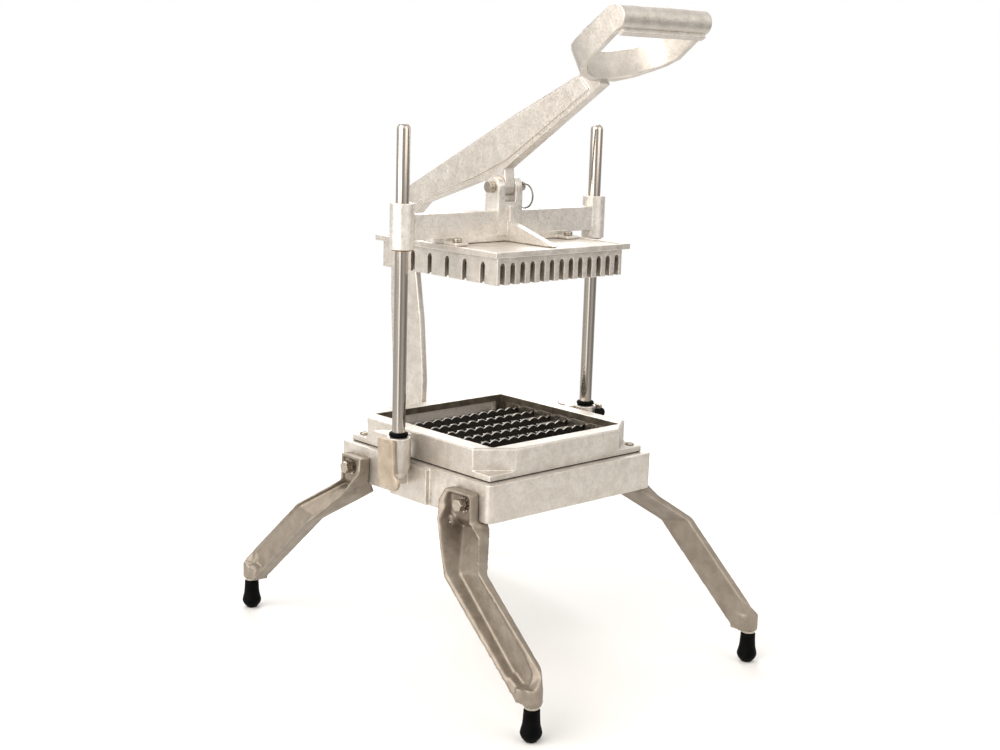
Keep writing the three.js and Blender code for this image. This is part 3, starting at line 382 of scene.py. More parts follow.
def publish(name: str, mesh: bpy.types.Mesh, body: str, nodes: Iterable[str]) -> None:
    """Puts a finished mesh in the scene as a piece that rides on a body.

    Args:
        name: the piece's name.
        mesh: its mesh, in place, in metres.
        body: the CAD body that it moves with.
        nodes: the CAD nodes that it stands for.
    """
    piece = placed(name, mesh)
    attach(piece, body)
    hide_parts(*nodes)
    LOG.info("%s on %s: %d faces", name, body, len(mesh.polygons))


def evaluated(holder: bpy.types.Object, name: str) -> bpy.types.Mesh:
    """Turns an object's modified shape into a plain mesh and removes the object.

    Args:
        holder: the object that carries the modifiers.
        name: the new mesh's name.

    Returns:
        The plain mesh.
    """
    graph = bpy.context.evaluated_depsgraph_get()
    mesh = bpy.data.meshes.new_from_object(holder.evaluated_get(graph), depsgraph=graph)
    source = holder.data
    holder.modifiers.clear()
    bpy.data.objects.remove(holder)
    bpy.data.meshes.remove(source)
    mesh.name = name
    return mesh


def join_flat(form: bmesh.types.BMesh, flat_deg: float = 0.6, slack_deg: float = 1.5) -> None:
    """Joins the triangles of each flat face to convex pieces, dropping the longest cuts first.

    Args:
        form: the solid.
        flat_deg: faces that meet within this angle are one face.
        slack_deg: how far over half a turn a joined corner may open.
    """
    limit = math.radians(flat_deg)
    widest = math.pi + math.radians(slack_deg)
    flat = [edge for edge in form.edges if len(edge.link_faces) == 2 and edge.calc_face_angle(1.0) < limit]
    for edge in sorted(flat, key=lambda one: -one.calc_length()):
        if not edge.is_valid or len(edge.link_faces) != 2:
            continue
        near, far = edge.link_loops
        ends = ((near, far.link_loop_next), (near.link_loop_next, far))
        convex = all(one.calc_angle() + two.calc_angle() < widest for one, two in ends)
        if convex and sum(far.face in other.link_faces for other in near.face.edges) == 1:
            bmesh.utils.face_join((near.face, far.face))
    loose = [vert for vert in form.verts if len(vert.link_edges) == 2]
    straight = [vert for vert in loose if vert.calc_edge_angle(1.0) < limit]
    bmesh.ops.dissolve_verts(form, verts=straight)


def gap_between(edge: bmesh.types.BMEdge, other: bmesh.types.BMEdge, beside: float = 0.7) -> float:
    """The gap between two edges of a face where they lie side by side.

    Args:
        edge: the edge to be rounded.
        other: an edge that shares no corner with it.
        beside: a gap whose direction has a larger cosine with the edge isn't one beside it.

    Returns:
        The gap in metres, or infinity where the other edge only carries on beyond this one.
    """
    along = (edge.verts[1].co - edge.verts[0].co).normalized()
    least = math.inf
    for one, two in ((edge, other), (other, edge)):
        start, end = (vert.co for vert in one.verts)
        for vert in two.verts:
            share = intersect_point_line(vert.co, start, end)[1]
            across = vert.co - start.lerp(end, max(0.0, min(1.0, share)))
            if across.length > 0 and abs(across.normalized().dot(along)) < beside:
                least = min(least, across.length)
    return least


def edge_room(edge: bmesh.types.BMEdge, least: float = 0.001) -> float:
    """The widest rounding of an edge that still leaves its two faces whole.

    Args:
        edge: the edge to be rounded.
        least: what an end takes of the edge's length, as a share of the width, at the least.

    Returns:
        The width in metres; every other edge of those faces may take as much.
    """
    room = math.inf
    for loop in edge.link_loops:
        ends = (loop, loop.link_loop_next)
        takes = [max(least, 1 / math.tan(end.calc_angle() / 2)) if end.is_convex else least for end in ends]
        sides = (loop.link_loop_prev.edge, loop.link_loop_next.edge)
        room = min(room, edge.calc_length() / sum(takes))
        room = min([room, *(side.calc_length() / 2 / take for side, take in zip(sides, takes))])
        for other in loop.face.edges:
            if not set(other.verts) & set(edge.verts):
                room = min(room, gap_between(edge, other) / 2)
    return room


def settle(mesh: bpy.types.Mesh, solid: BVHTree, depth: float) -> None:
    """Brings the corners that a rounding threw off back to the solid's skin.

    Args:
        mesh: the rounded mesh.
        solid: the sharp solid.
        depth: how far a corner may lie under the skin, in metres.
    """
    for vert in mesh.vertices:
        nearest, normal, _, gap = solid.find_nearest(vert.co)
        outside = (vert.co - nearest).dot(normal) > 0
        if gap > (WELD_MM * MM if outside else depth):
            vert.co = nearest


def comb(mesh: bpy.types.Mesh, reach: float, spike_deg: float = 110.0) -> None:
    """Welds each corner that a rounding threw past its neighbour in a flat face to that neighbour.

    Args:
        mesh: the rounded mesh.
        reach: how far a corner may have been thrown, in metres.
        spike_deg: how far a face's outline turns back at such a corner.
    """
    form = bmesh.new()
    form.from_mesh(mesh)
    pairs: dict[bmesh.types.BMVert, bmesh.types.BMVert] = {}
    for loop in (loop for face in form.faces if len(face.verts) > 3 for loop in face.loops):
        before = loop.vert.co - loop.link_loop_prev.vert.co
        after = loop.link_loop_next.vert.co - loop.vert.co
        if min(before.length, after.length) > reach or before.angle(after, 0.0) < math.radians(spike_deg):
            continue
        near = loop.link_loop_prev.vert if before.length < after.length else loop.link_loop_next.vert
        if near not in pairs and loop.vert not in pairs.values():
            pairs[loop.vert] = near
    bmesh.ops.weld_verts(form, targetmap=pairs)
    folded: dict[frozenset[bmesh.types.BMVert], list[bmesh.types.BMFace]] = {}
    for face in form.faces:
        folded.setdefault(frozenset(face.verts), []).append(face)
    twins = [face for pair in folded.values() if len(pair) > 1 for face in pair]
    bmesh.ops.delete(form, geom=twins, context="FACES")
    form.to_mesh(mesh)
    form.free()


def rounded(
    mesh: bpy.types.Mesh,
    name: str,
    radius_mm: float,
    materials: Sequence[bpy.types.Material],
    segments: int = 3,
    least_deg: float = 24.0,
) -> bpy.types.Mesh:
    """Rounds the sharp edges of a solid as a casting's are.

    Args:
        mesh: the sharp solid, which is left as it is.
        name: the new mesh's name.
        radius_mm: the width of a full rounding.
        materials: the material of the faces, and last that of the roundings.
        segments: facets across one rounding.
        least_deg: an edge flatter than this stays.

    Returns:
        The rounded mesh.
    """
    form = bmesh.new()
    form.from_mesh(mesh)
    bmesh.ops.remove_doubles(form, verts=form.verts, dist=WELD_MM * MM)
    join_flat(form)
    weight = form.edges.layers.float.new("bevel_weight_edge")
    for edge in form.edges:
        if len(edge.link_faces) == 2 and edge.calc_face_angle(0.0) > math.radians(least_deg):
            share = ROOM_SHARE * edge_room(edge) / (radius_mm * MM)
            edge[weight] = max(LEAST_WEIGHT, min(1.0, share))
    for face in form.faces:
        face.smooth = True
        face.material_index = 0
    plain = bpy.data.meshes.new(name)
    form.to_mesh(plain)
    solid = BVHTree.FromBMesh(form)
    form.free()
    for material in materials:
        plain.materials.append(material)
    holder = placed(name, plain)
    bevel = holder.modifiers.new("round", "BEVEL")
    bevel.limit_method = "WEIGHT"
    bevel.width = radius_mm * MM
    bevel.segments = segments
    bevel.use_clamp_overlap = False
    bevel.material = len(materials) - 1
    bevel.miter_outer = "MITER_ARC"
    bevel.loop_slide = False
    made = evaluated(holder, name)
    settle(made, solid, DEPTH_SHARE * radius_mm * MM)
    comb(made, THROW_SHARE * radius_mm * MM)
    holder = placed(name, made)
    holder.modifiers.new("flat", "WEIGHTED_NORMAL").mode = "FACE_AREA_WITH_ANGLE"
    return evaluated(holder, name)


def bridge(
    form: bmesh.types.BMesh, low: Sequence[bmesh.types.BMVert], high: Sequence[bmesh.types.BMVert]
) -> None:
    """Joins two closed rings of corners with faces; a ring of one corner is a pole.

    Args:
        form: what the corners belong to.
        low: the first ring.
        high: the second ring.
    """
    for i in range(max(len(low), len(high))):
        j = i + 1
        corners = (low[i % len(low)], low[j % len(low)], high[j % len(high)], high[i % len(high)])
        form.faces.new(list(dict.fromkeys(corners)))


def turned(
    profile: Profile, sides: int = 48, axis: Axis = Axis.Z, at: Point = (0, 0, 0)
) -> bmesh.types.BMesh:
    """Turns a profile about an axis, with closed poles where it meets the axis.

    Args:
        profile: [radius, height] points in millimetres from the bottom up.
        sides: facets round the axis.
        axis: the way that the profile's height points.
        at: the foot of the axis, in millimetres.

    Returns:
        The closed form, in metres.
    """
    form = bmesh.new()
    rings: list[list[bmesh.types.BMVert]] = []
    for radius, height in profile:
        turns = [math.tau * i / sides for i in range(sides if radius else 1)]
        spots = [(radius * math.cos(t) * MM, radius * math.sin(t) * MM, height * MM) for t in turns]
        rings.append([form.verts.new(spot) for spot in spots])
    for low, high in zip(rings, rings[1:]):
        bridge(form, low, high)
    if len(rings[0]) > 1 and len(rings[-1]) > 1:
        bridge(form, rings[-1], rings[0])
    bmesh.ops.recalc_face_normals(form, faces=form.faces)
    bmesh.ops.transform(form, matrix=Matrix.Translation(Vector(at) * MM) @ axis.value, verts=form.verts)
    return form


def arc_profile(radius: float, foot: float, top: float, turn: float, steps: int = 4) -> Profile:
    """The profile of a cylinder whose two rims are rounded.

    Args:
        radius: the cylinder's radius.
        foot: its lower end.
        top: its upper end.
        turn: the radius of the rounded rims.
        steps: facets in each rounding.

    Returns:
        Points from the bottom axis to the top axis.
    """
    bends = [math.pi / 2 * i / steps for i in range(steps + 1)]
    low = [(radius - turn + turn * math.sin(t), foot + turn - turn * math.cos(t)) for t in bends]
    high = [(r, foot + top - z) for r, z in reversed(low)]
    return [(0, foot), *low, *high, (0, top)]


def box_form(low: Point, high: Point) -> bmesh.types.BMesh:
    """Makes a closed box.

    Args:
        low: its lowest corner, in millimetres.
        high: its highest corner, in millimetres.

    Returns:
        The box, in metres.
    """
    form = bmesh.new()
    bmesh.ops.create_cube(form, size=1.0)
    size = Matrix.Diagonal((*((b - a) * MM for a, b in zip(low, high)), 1))
    middle = Matrix.Translation([(a + b) / 2 * MM for a, b in zip(low, high)])
    bmesh.ops.transform(form, matrix=middle @ size, verts=form.verts)
    return form


def prism(outline: Profile, depth: tuple[float, float]) -> bmesh.types.BMesh:
    """Extrudes an outline along X.

    Args:
        outline: the outline's (y, z) points, in millimetres.
        depth: where the prism starts and ends along X.

    Returns:
        The closed form, in metres.
    """
    form = bmesh.new()
    near, far = ([form.verts.new(Vector((x, y, z)) * MM) for y, z in outline] for x in depth)
    form.faces.new(near)
    form.faces.new(far)
    bridge(form, near, far)
    bmesh.ops.recalc_face_normals(form, faces=form.faces)
    return form


def merge(name: str, forms: Iterable[bmesh.types.BMesh]) -> bpy.types.Mesh:
    """Gathers forms into one mesh and frees them.

    Args:
        name: the mesh's name.
        forms: the forms.

    Returns:
        The mesh.
    """
    gathered = bmesh.new()
    for form in forms:
        part = bpy.data.meshes.new(name)
        form.to_mesh(part)
        form.free()
        gathered.from_mesh(part)
        bpy.data.meshes.remove(part)
    mesh = bpy.data.meshes.new(name)
    gathered.to_mesh(mesh)
    gathered.free()
    return mesh


def absorb(mesh: bpy.types.Mesh, other: bpy.types.Mesh) -> None:
    """Adds another mesh's faces to a mesh and removes the other.

    Args:
        mesh: the mesh that grows.
        other: the mesh that goes.
    """
    joined = bmesh.new()
    joined.from_mesh(mesh)
    joined.from_mesh(other)
    joined.to_mesh(mesh)
    joined.free()
    bpy.data.meshes.remove(other)


def smooth(mesh: bpy.types.Mesh, finish: Finish, crease_deg: float = 32.0) -> bpy.types.Mesh:
    """Shades a mesh smooth and gives it one finish.

    Args:
        mesh: the mesh.
        finish: its finish.
        crease_deg: an edge sharper than this stays a crease.

    Returns:
        The same mesh.
    """
    mesh.materials.clear()
    mesh.materials.append(finish.material())
    for face in mesh.polygons:
        face.use_smooth = True
        face.material_index = 0
    mesh.set_sharp_from_angle(angle=math.radians(crease_deg))
    return mesh


@dataclass
class Repeat:
    """Copies of one blank, laid out on a grid or on points by a Geometry Nodes tree."""

    name: str
    layout: Layout
    material: bpy.types.Material
    counts: tuple[int, int] = (1, 1)
    pitch_mm: float = 1.0
    centre_mm: Point = (0.0, 0.0, 0.0)
    points_mm: Sequence[Point] = ()
    turns: Sequence[Point] = ()

    def tree(self) -> bpy.types.NodeTree:
        """Builds the tree, with the blank, the counts and the lengths as its inputs.

        Returns:
            The tree.
        """
        tree = bpy.data.node_groups.new(self.name, "GeometryNodeTree")
        kinds = {
            "Geometry": "NodeSocketGeometry",
            "Blank": "NodeSocketObject",
            "Finish": "NodeSocketMaterial",
            "Count X": "NodeSocketInt",
            "Count Y": "NodeSocketInt",
            "Length X": "NodeSocketFloat",
            "Length Y": "NodeSocketFloat",
            "Centre": "NodeSocketVector",
        }
        for name, kind in kinds.items():
            tree.interface.new_socket(name, in_out="INPUT", socket_type=kind)
        tree.interface.new_socket("Geometry", in_out="OUTPUT", socket_type="NodeSocketGeometry")
        given = add(tree, "NodeGroupInput").outputs
        blank = add(tree, "GeometryNodeObjectInfo", Object=given["Blank"]).outputs["Geometry"]
        seats = given["Geometry"]
        turn = {}
        if self.layout is Layout.GRID:
            sizes = {"Size_X": given["Length X"], "Size_Y": given["Length Y"]}
            counts = {"Vertices_X": given["Count X"], "Vertices_Y": given["Count Y"]}
            grid = add(tree, "GeometryNodeMeshGrid", **sizes, **counts)
            seats = add(tree, "GeometryNodeTransform", Geometry=grid, Translation=given["Centre"])
        else:
            vector = {"data_type": "FLOAT_VECTOR"}
            turn = {"Rotation": add(tree, "GeometryNodeInputNamedAttribute", vector, Name="turn")}
        copies = add(tree, "GeometryNodeInstanceOnPoints", Points=seats, Instance=blank, **turn)
        real = add(tree, "GeometryNodeRealizeInstances", Geometry=copies)
        dressed = add(tree, "GeometryNodeSetMaterial", Geometry=real, Material=given["Finish"])
        add(tree, "NodeGroupOutput", Geometry=dressed)
        return tree

    def mesh(self, blank_mesh: bpy.types.Mesh) -> bpy.types.Mesh:
        """Runs the tree on a blank.

        Args:
            blank_mesh: the mesh that is repeated, about the origin.

        Returns:
            One plain mesh of all the copies.
        """
        blank = placed(self.name + "_blank", blank_mesh)
        seat = bpy.data.meshes.new(self.name)
        seat.from_pydata([Vector(point) * MM for point in self.points_mm], [], [])
        if self.turns:
            attribute = seat.attributes.new("turn", "FLOAT_VECTOR", "POINT")
            for datum, turn in zip(attribute.data, self.turns):
                datum.vector = turn
        holder = placed(self.name, seat)
        tree = self.tree()
        modifier = holder.modifiers.new("repeat", "NODES")
        modifier.node_group = tree
        values = {
            "Blank": blank,
            "Finish": self.material,
            "Count X": self.counts[0],
            "Count Y": self.counts[1],
            "Length X": (self.counts[0] - 1) * self.pitch_mm * MM,
            "Length Y": (self.counts[1] - 1) * self.pitch_mm * MM,
            "Centre": [value * MM for value in self.centre_mm],
        }
        for item in tree.interface.items_tree:
            if item.in_out == "INPUT" and item.name in values:
                modifier[item.identifier] = values[item.name]
        mesh = evaluated(holder, self.name)
        bpy.data.objects.remove(blank)
        bpy.data.node_groups.remove(tree)
        return mesh


@dataclass
class FrameRow:
    """Equal pieces that stand on the frame body, one for each corner or side."""

    name: str
    blank: bpy.types.Mesh
    finish: Finish
    slot: str
    places: Iterable[str]
    points_mm: Sequence[Point]
    turns: Sequence[Point] = ()

    def build(self) -> None:
        """Repeats the blank at its points; the row stands for the CAD node of each place."""
        seats = {"points_mm": self.points_mm, "turns": self.turns}
        row = Repeat(self.name, Layout.POINTS, self.finish.material(), **seats)
        nodes = [f"{self.name.removesuffix('s')}_{place}" for place in self.places]
        publish(self.name, row.mesh(self.blank), "frame", nodes)


@dataclass(frozen=True)
class FinishBox:
    """A box, mirrored about both middle planes, in which a casting's faces take another finish; for the
    throat and the joint that finish is painted shade.

    A face whose normal's upright share is over steepest keeps its own finish.
    """

    finish: Finish
    low_mm: Point
    high_mm: Point
    steepest: float = 1.0


@dataclass
class Casting:
    """A piece that keeps its CAD shape and gets rounded edges and its finishes."""

    node: str
    body: str
    radius_mm: float
    suffix: str = "casting"
    # Roundings take a paler finish: wear with a painted highlight.
    finishes: Sequence[Finish] = (FINISH.casting, FINISH.casting_edge)
    slot: str = "cast_aluminium"
    segments: int = 3
    least_deg: float = 24.0
    finish_boxes: Sequence[FinishBox] = ()

    def paint_boxes(self, mesh: bpy.types.Mesh) -> None:
        """Gives the faces in each box its finish; some of these finishes are painted shade.

        Args:
            mesh: the rounded casting.
        """
        for mark in self.finish_boxes:
            mesh.materials.append(mark.finish.material())
            for face in mesh.polygons:
                at = (abs(face.center.x) / MM, abs(face.center.y) / MM, face.center.z / MM)
                inside = all(low <= value <= high for low, value, high in zip(mark.low_mm, at, mark.high_mm))
                if inside and abs(face.normal.z) <= mark.steepest:
                    face.material_index = len(mesh.materials) - 1

    def build(self, frame: dict[str, Any]) -> None:
        """Rounds a copy of the CAD node and lets it stand for the node.
        """
        name = f"{self.node}_{self.suffix}"
        materials = [finish.material() for finish in self.finishes]
        source = frame["nodes"][self.node].data
        mesh = rounded(source, name, self.radius_mm, materials, self.segments, self.least_deg)
        self.paint_boxes(mesh)
        publish(name, mesh, self.body, [self.node])


@dataclass
class Hardware(Casting):
    """A small zinc-plated piece that keeps its CAD shape."""

    finishes: Sequence[Finish] = (FINISH.zinc,)
    slot: str = "zinc_steel"


@dataclass
class CastLeg:
    """One leg: the CAD channel with its ends filled out, and every edge softened as cast.

    The points are those of the front left leg, and the corner's signs mirror them.
    """

    corner: str
    grain_mm: float = 1.0
    soften_passes: int = 9
    soften_share: float = 0.5
    # The filler between the far wall's end and the foot boss.
    wall_end: Sequence[Point] = (
        (-144.8, -224.0, 61.3),
        (-139.1, -217.0, 65.0),
        (-140.2, -203.2, 37.5),
        (-141.0, -212.0, 52.0),
    )
    # The filler at the near wall, just under the skirt.
    shoulder: Sequence[Point] = (
        (-103.5, -70.9, 165.0),
        (-103.5, -75.0, 165.0),
        (-103.5, -70.6, 157.0),
        (-103.5, -74.5, 157.0),
        (-122.0, -68.2, 166.5),
        (-122.0, -73.5, 166.5),
        (-120.5, -70.6, 157.5),
        (-120.5, -75.0, 157.5),
    )
    # The hollow in which the channel ends over the foot.
    bowl: Sequence[Point] = (
        (-145.7, -181.2, 61.6),
        (-145.2, -196.9, 79.7),
        (-169.6, -182.3, 59.7),
        (-159.4, -201.3, 77.1),
        (-146.5, -203.0, 47.5),
        (-147.5, -212.5, 49.5),
        (-146.0, -214.5, 61.0),
        (-169.0, -204.5, 46.5),
        (-165.0, -215.0, 47.0),
        (-161.0, -219.5, 56.0),
    )
    boss_at: tuple[float, float] = (-150.3, -218.6)
    boss_radius: float = 8.9
    boss_heights: tuple[float, float] = (40.0, 51.5)
    boss_arc_deg: tuple[float, float] = (-115.0, 75.0)
    boss_steps: int = 8

    def hull(self, points: Iterable[Point]) -> bmesh.types.BMesh:
        """The convex solid round some points, mirrored to this leg's corner.

        Args:
            points: points of the front left leg, in millimetres.

        Returns:
            The closed solid, in metres.
        """
        side_x, side_y = CORNERS[self.corner]
        form = bmesh.new()
        for x, y, z in points:
            form.verts.new(Vector((-side_x * x, -side_y * y, z)) * MM)
        made = bmesh.ops.convex_hull(form, input=form.verts)
        loose = [item for item in made["geom_interior"] if isinstance(item, bmesh.types.BMVert)]
        bmesh.ops.delete(form, geom=loose, context="VERTS")
        bmesh.ops.recalc_face_normals(form, faces=form.faces)
        return form

    def boss_arc(self) -> list[Point]:
        """Lists points on the foot boss where the far wall meets it.

        Returns:
            Points of the front left leg, in millimetres.
        """
        low, high = self.boss_arc_deg
        steps = self.boss_steps
        turns = [math.radians(low + (high - low) * i / steps) for i in range(steps + 1)]
        x, y = self.boss_at
        rim = [(x + self.boss_radius * math.cos(t), y + self.boss_radius * math.sin(t)) for t in turns]
        return [(*spot, height) for spot in rim for height in self.boss_heights]

    def build(self, frame: dict[str, Any]) -> None:
        """Melts the channel and its fillers to one skin, cuts the hollow and softens it all.
        """
        node = f"leg_{self.corner}"
        channel = bmesh.new()
        channel.from_mesh(frame["nodes"][node].data)
        bmesh.ops.remove_doubles(channel, verts=channel.verts, dist=WELD_MM * MM)
        ends = [self.hull([*self.wall_end, *self.boss_arc()]), self.hull(self.shoulder)]
        holder = placed(node, merge(node, [channel, *ends]))
        cutter = placed(node + "_bowl", merge(node + "_bowl", [self.hull(self.bowl)]))
        for name in ("union", "skin"):
            skin = holder.modifiers.new(name, "REMESH")
            skin.mode = "VOXEL"
            skin.voxel_size = self.grain_mm * MM
            if name == "union":
                cut = holder.modifiers.new("bowl", "BOOLEAN")
                cut.operation = "DIFFERENCE"
                cut.solver = "EXACT"
                cut.object = cutter
        soften = holder.modifiers.new("soften", "SMOOTH")
        soften.factor = self.soften_share
        soften.iterations = self.soften_passes
        # The leg finish carries painted shade: it is darker than the castings above.
        mesh = smooth(evaluated(holder, node + "_casting"), FINISH.leg, crease_deg=180)
        bpy.data.objects.remove(cutter)
        publish(node + "_casting", mesh, "frame", [node])


@dataclass
class BaseAssembly:
    """Base frame, legs, leg bolts with their washers, and feet."""

    rounding: float = 1.1
    keeper: FinishBox = FinishBox(FINISH.keeper, (139.4, 0.0, 150.0), (150.0, 20.0, 235.0))
    foot_x: float = 150.3
    foot_y: float = 218.6
    # The bolts lie along X. Their seats and tips are distances from the middle plane.
    bolt_y: float = 86.2
    bolt_z: float = 179.5
    bolt_tip: float = 104.3
    bolt_rolls: Sequence[float] = (0.15, 0.42, -0.2, 0.6)
    head_radius: float = 6.4
    head_height: float = 8.0
    head_rounding: float = 0.7
    crown: Profile = ((0, 0), (5.2, 0), (5.0, 0.25), (0, 0.45))
    shank_radius: float = 4.0
    shank_overlap: float = 0.5
    gap: float = 0.3
    washer_seat: float = 118.18
    washer_radius: float = 7.6
    washer_thickness: float = 1.6
    washer_teeth: int = 12
    washer_inset: float = 0.35
    # The four outer corners of a tooth and its gap: how far in from the rim, how far bent outward.
    tooth: Profile = ((0.0, 0.35), (0.0, -0.35), (1.7, 0.0), (1.7, 0.0))
    boot_profile: Profile = (
        (0, 0),
        (4.2, 0),
        (5.2, 0.5),
        (8.5, 4.2),
        (9.5, 6.3),
        (9.95, 8.2),
        (9.9, 9.3),
        (9.5, 11.2),
        (8.5, 15.0),
        (8.1, 17.2),
        (7.7, 22.0),
        (7.4, 28.6),
        (7.35, 29.8),
        (6.9, 30.4),
        (5.4, 30.45),
        (5.0, 30.1),
        (4.9, 14.0),
        (0, 13.7),
    )
    stud_profile: Profile = (
        (0, 14.1),
        (4.55, 14.1),
        (4.6, 30.9),
        (6.2, 30.85),
        (6.6, 31.2),
        (6.6, 33.3),
        (6.2, 33.65),
        (4.6, 33.65),
        (4.6, 45.4),
        (0, 45.6),
    )

    def bolt_seats(self, out: float) -> tuple[list[Point], list[Point]]:
        """Finds where the four bolts or washers sit.

        Args:
            out: their distance from the middle plane, in millimetres.

        Returns:
            A place and an Euler turn for each corner.
        """
        places = [(side * out, end * self.bolt_y, self.bolt_z) for side, end in CORNERS.values()]
        swings = [0.0 if side > 0 else math.pi for side, _ in CORNERS.values()]
        return places, [(roll, swing, 0.0) for roll, swing in zip(self.bolt_rolls, swings)]

    def bolt_blank(self) -> bpy.types.Mesh:
        """Makes a hex bolt along +X whose head starts at the origin and whose face is chamfered.

        Returns:
            The bolt.
        """
        turns = [math.tau * i / 6 for i in range(6)]
        hexagon = [(self.head_radius * math.cos(t), self.head_radius * math.sin(t)) for t in turns]
        head = merge("bolt_head", [prism(hexagon, (0.0, self.head_height))])
        mesh = rounded(head, "bolt_head", self.head_rounding, [FINISH.zinc.material()])
        crown_at = (self.head_height - self.crown[-1][1], 0, 0)
        crown = turned(self.crown, sides=32, axis=Axis.X, at=crown_at)
        reach = self.washer_seat + self.washer_thickness - self.bolt_tip + self.gap
        ends = (-reach, self.shank_overlap)
        rod = [(0, ends[0]), (self.shank_radius, ends[0]), (self.shank_radius, ends[1]), (0, ends[1])]
        shank = turned(rod, sides=32, axis=Axis.X)
        absorb(mesh, smooth(merge("bolt_shank", [shank, crown]), FINISH.zinc))
        return mesh

    def washer_blank(self) -> bpy.types.Mesh:
        """Makes a toothed lock washer along +X from the origin, its teeth twisted.

        Returns:
            The washer.
        """
        form = bmesh.new()
        steps = self.washer_teeth * len(self.tooth)
        low, high = self.washer_inset, self.washer_thickness - self.washer_inset
        rings = []
        for outer, level in ((0, low), (0, high), (1, high), (1, low)):
            ring = []
            for i in range(steps):
                turn = math.tau * i / steps
                cut, bend = self.tooth[i % len(self.tooth)]
                radius = self.washer_radius - cut if outer else self.shank_radius + self.gap
                spot = Vector((level + outer * bend, radius * math.cos(turn), radius * math.sin(turn)))
                ring.append(form.verts.new(spot * MM))
            rings.append(ring)
        for near, far in zip(rings, rings[1:] + rings[:1]):
            bridge(form, near, far)
        bmesh.ops.recalc_face_normals(form, faces=form.faces)
        return merge("lock_washer", [form])

    def build(self, frame: dict[str, Any]) -> None:
        """Builds the base's pieces.
        """
        Casting("base_frame", "frame", self.rounding, finish_boxes=[self.keeper]).build(frame)
        for corner in CORNERS:
            CastLeg(corner).build(frame)
        feet = [(side * self.foot_x, end * self.foot_y, 0.0) for side, end in CORNERS.values()]
        boot = smooth(merge("boot", [turned(self.boot_profile)]), FINISH.rubber, crease_deg=50)
        stud = smooth(merge("stud", [turned(self.stud_profile, sides=32)]), FINISH.zinc, crease_deg=40)
        head_seats = self.bolt_seats(self.washer_seat + self.washer_thickness + self.gap)
        washer_seats = self.bolt_seats(self.washer_seat)
        rows = (
            FrameRow("leg_bolts", self.bolt_blank(), FINISH.zinc, "zinc_steel", CORNERS, *head_seats),
            FrameRow("lock_washers", self.washer_blank(), FINISH.zinc, "zinc_steel", CORNERS, *washer_seats),
            FrameRow("foot_boots", boot, FINISH.rubber, "black_rubber", CORNERS, feet),
            FrameRow("foot_studs", stud, FINISH.zinc, "zinc_steel", CORNERS, feet),
        )
        for row in rows:
            row.build()


@dataclass
class GuideRods:
    """Guide rods, their rubber bumpers and the clamp knob."""

    rod_x: float = 127.6
    radius: float = 6.35
    foot: float = 197.3
    top: float = 524.0
    dome: float = 5.6
    chamfer: float = 0.6
    arc_steps: int = 10
    bumper_foot: float = 228.3
    bumper_height: float = 4.6
    bumper_radius: float = 9.3
    bumper_gap: float = 0.3
    # How far the bumper's side bulges, as a share of half its height.
    bumper_bulge: float = 0.8
    # The knob and its screw point to -Y; their ends are distances from the middle plane.
    knob_x: float = 134.5
    knob_z: float = 221.6
    knob_face: float = 12.3
    knob_length: float = 6.0
    knob_radius: float = 5.4
    knob_rim: float = 0.9
    screw_radius: float = 2.5
    screw_tip: float = 5.6
    screw_overlap: float = 0.5

    def rod_blank(self) -> bpy.types.Mesh:
        """Makes a rod on the Z axis with a domed top.

        Returns:
            The rod.
        """
        bends = [math.pi / 2 * i / self.arc_steps for i in range(self.arc_steps)]
        spring = self.top - self.dome
        dome = [(self.radius * math.cos(t), spring + self.dome * math.sin(t)) for t in bends]
        end = [(self.radius - self.chamfer, self.foot), (self.radius, self.foot + self.chamfer)]
        profile = [(0, self.foot), *end, *dome, (0, self.top)]
        return smooth(merge("rod", [turned(profile, sides=64)]), FINISH.rod, crease_deg=40)

    def bumper_blank(self) -> bpy.types.Mesh:
        """Makes a rubber ring with a full round outside.

        Returns:
            The ring.
        """
        inner = self.radius + self.bumper_gap
        half = self.bumper_height / 2
        swell = half * self.bumper_bulge
        flank = self.bumper_radius - swell
        middle = self.bumper_foot + half
        bends = [math.pi * i / self.arc_steps for i in range(self.arc_steps + 1)]
        bulge = [(flank + swell * math.sin(t), middle - half * math.cos(t)) for t in bends]
        profile = [(inner, self.bumper_foot), *bulge, (inner, self.bumper_foot + self.bumper_height)]
        return smooth(merge("bumper", [turned(profile)]), FINISH.rubber, crease_deg=50)

    def knob(self) -> bpy.types.Mesh:
        """Makes the knob with its screw, in place.

        Returns:
            The knob.
        """
        at = (self.knob_x, 0, self.knob_z)
        face = self.knob_face
        disc = arc_profile(self.knob_radius, face, face + self.knob_length, self.knob_rim)
        grip = turned(disc, sides=40, axis=Axis.MINUS_Y, at=at)
        tip, root = self.screw_tip, face + self.screw_overlap
        rod = [(0, tip), (self.screw_radius, tip), (self.screw_radius, root), (0, root)]
        screw = turned(rod, sides=24, axis=Axis.MINUS_Y, at=at)
        return smooth(merge("clamp_knob_turned", [grip, screw]), FINISH.knob)

    def build(self, frame: dict[str, Any]) -> None:
        """Builds the rods, bumpers and knob.
        """
        seats = [(side * self.rod_x, 0.0, 0.0) for side in SIDES.values()]
        FrameRow("guide_rods", self.rod_blank(), FINISH.rod, "polished_steel", SIDES, seats).build()
        FrameRow("rod_bumpers", self.bumper_blank(), FINISH.rubber, "black_rubber", SIDES, seats).build()
        publish("clamp_knob_turned", self.knob(), "knob", ["clamp_knob"])


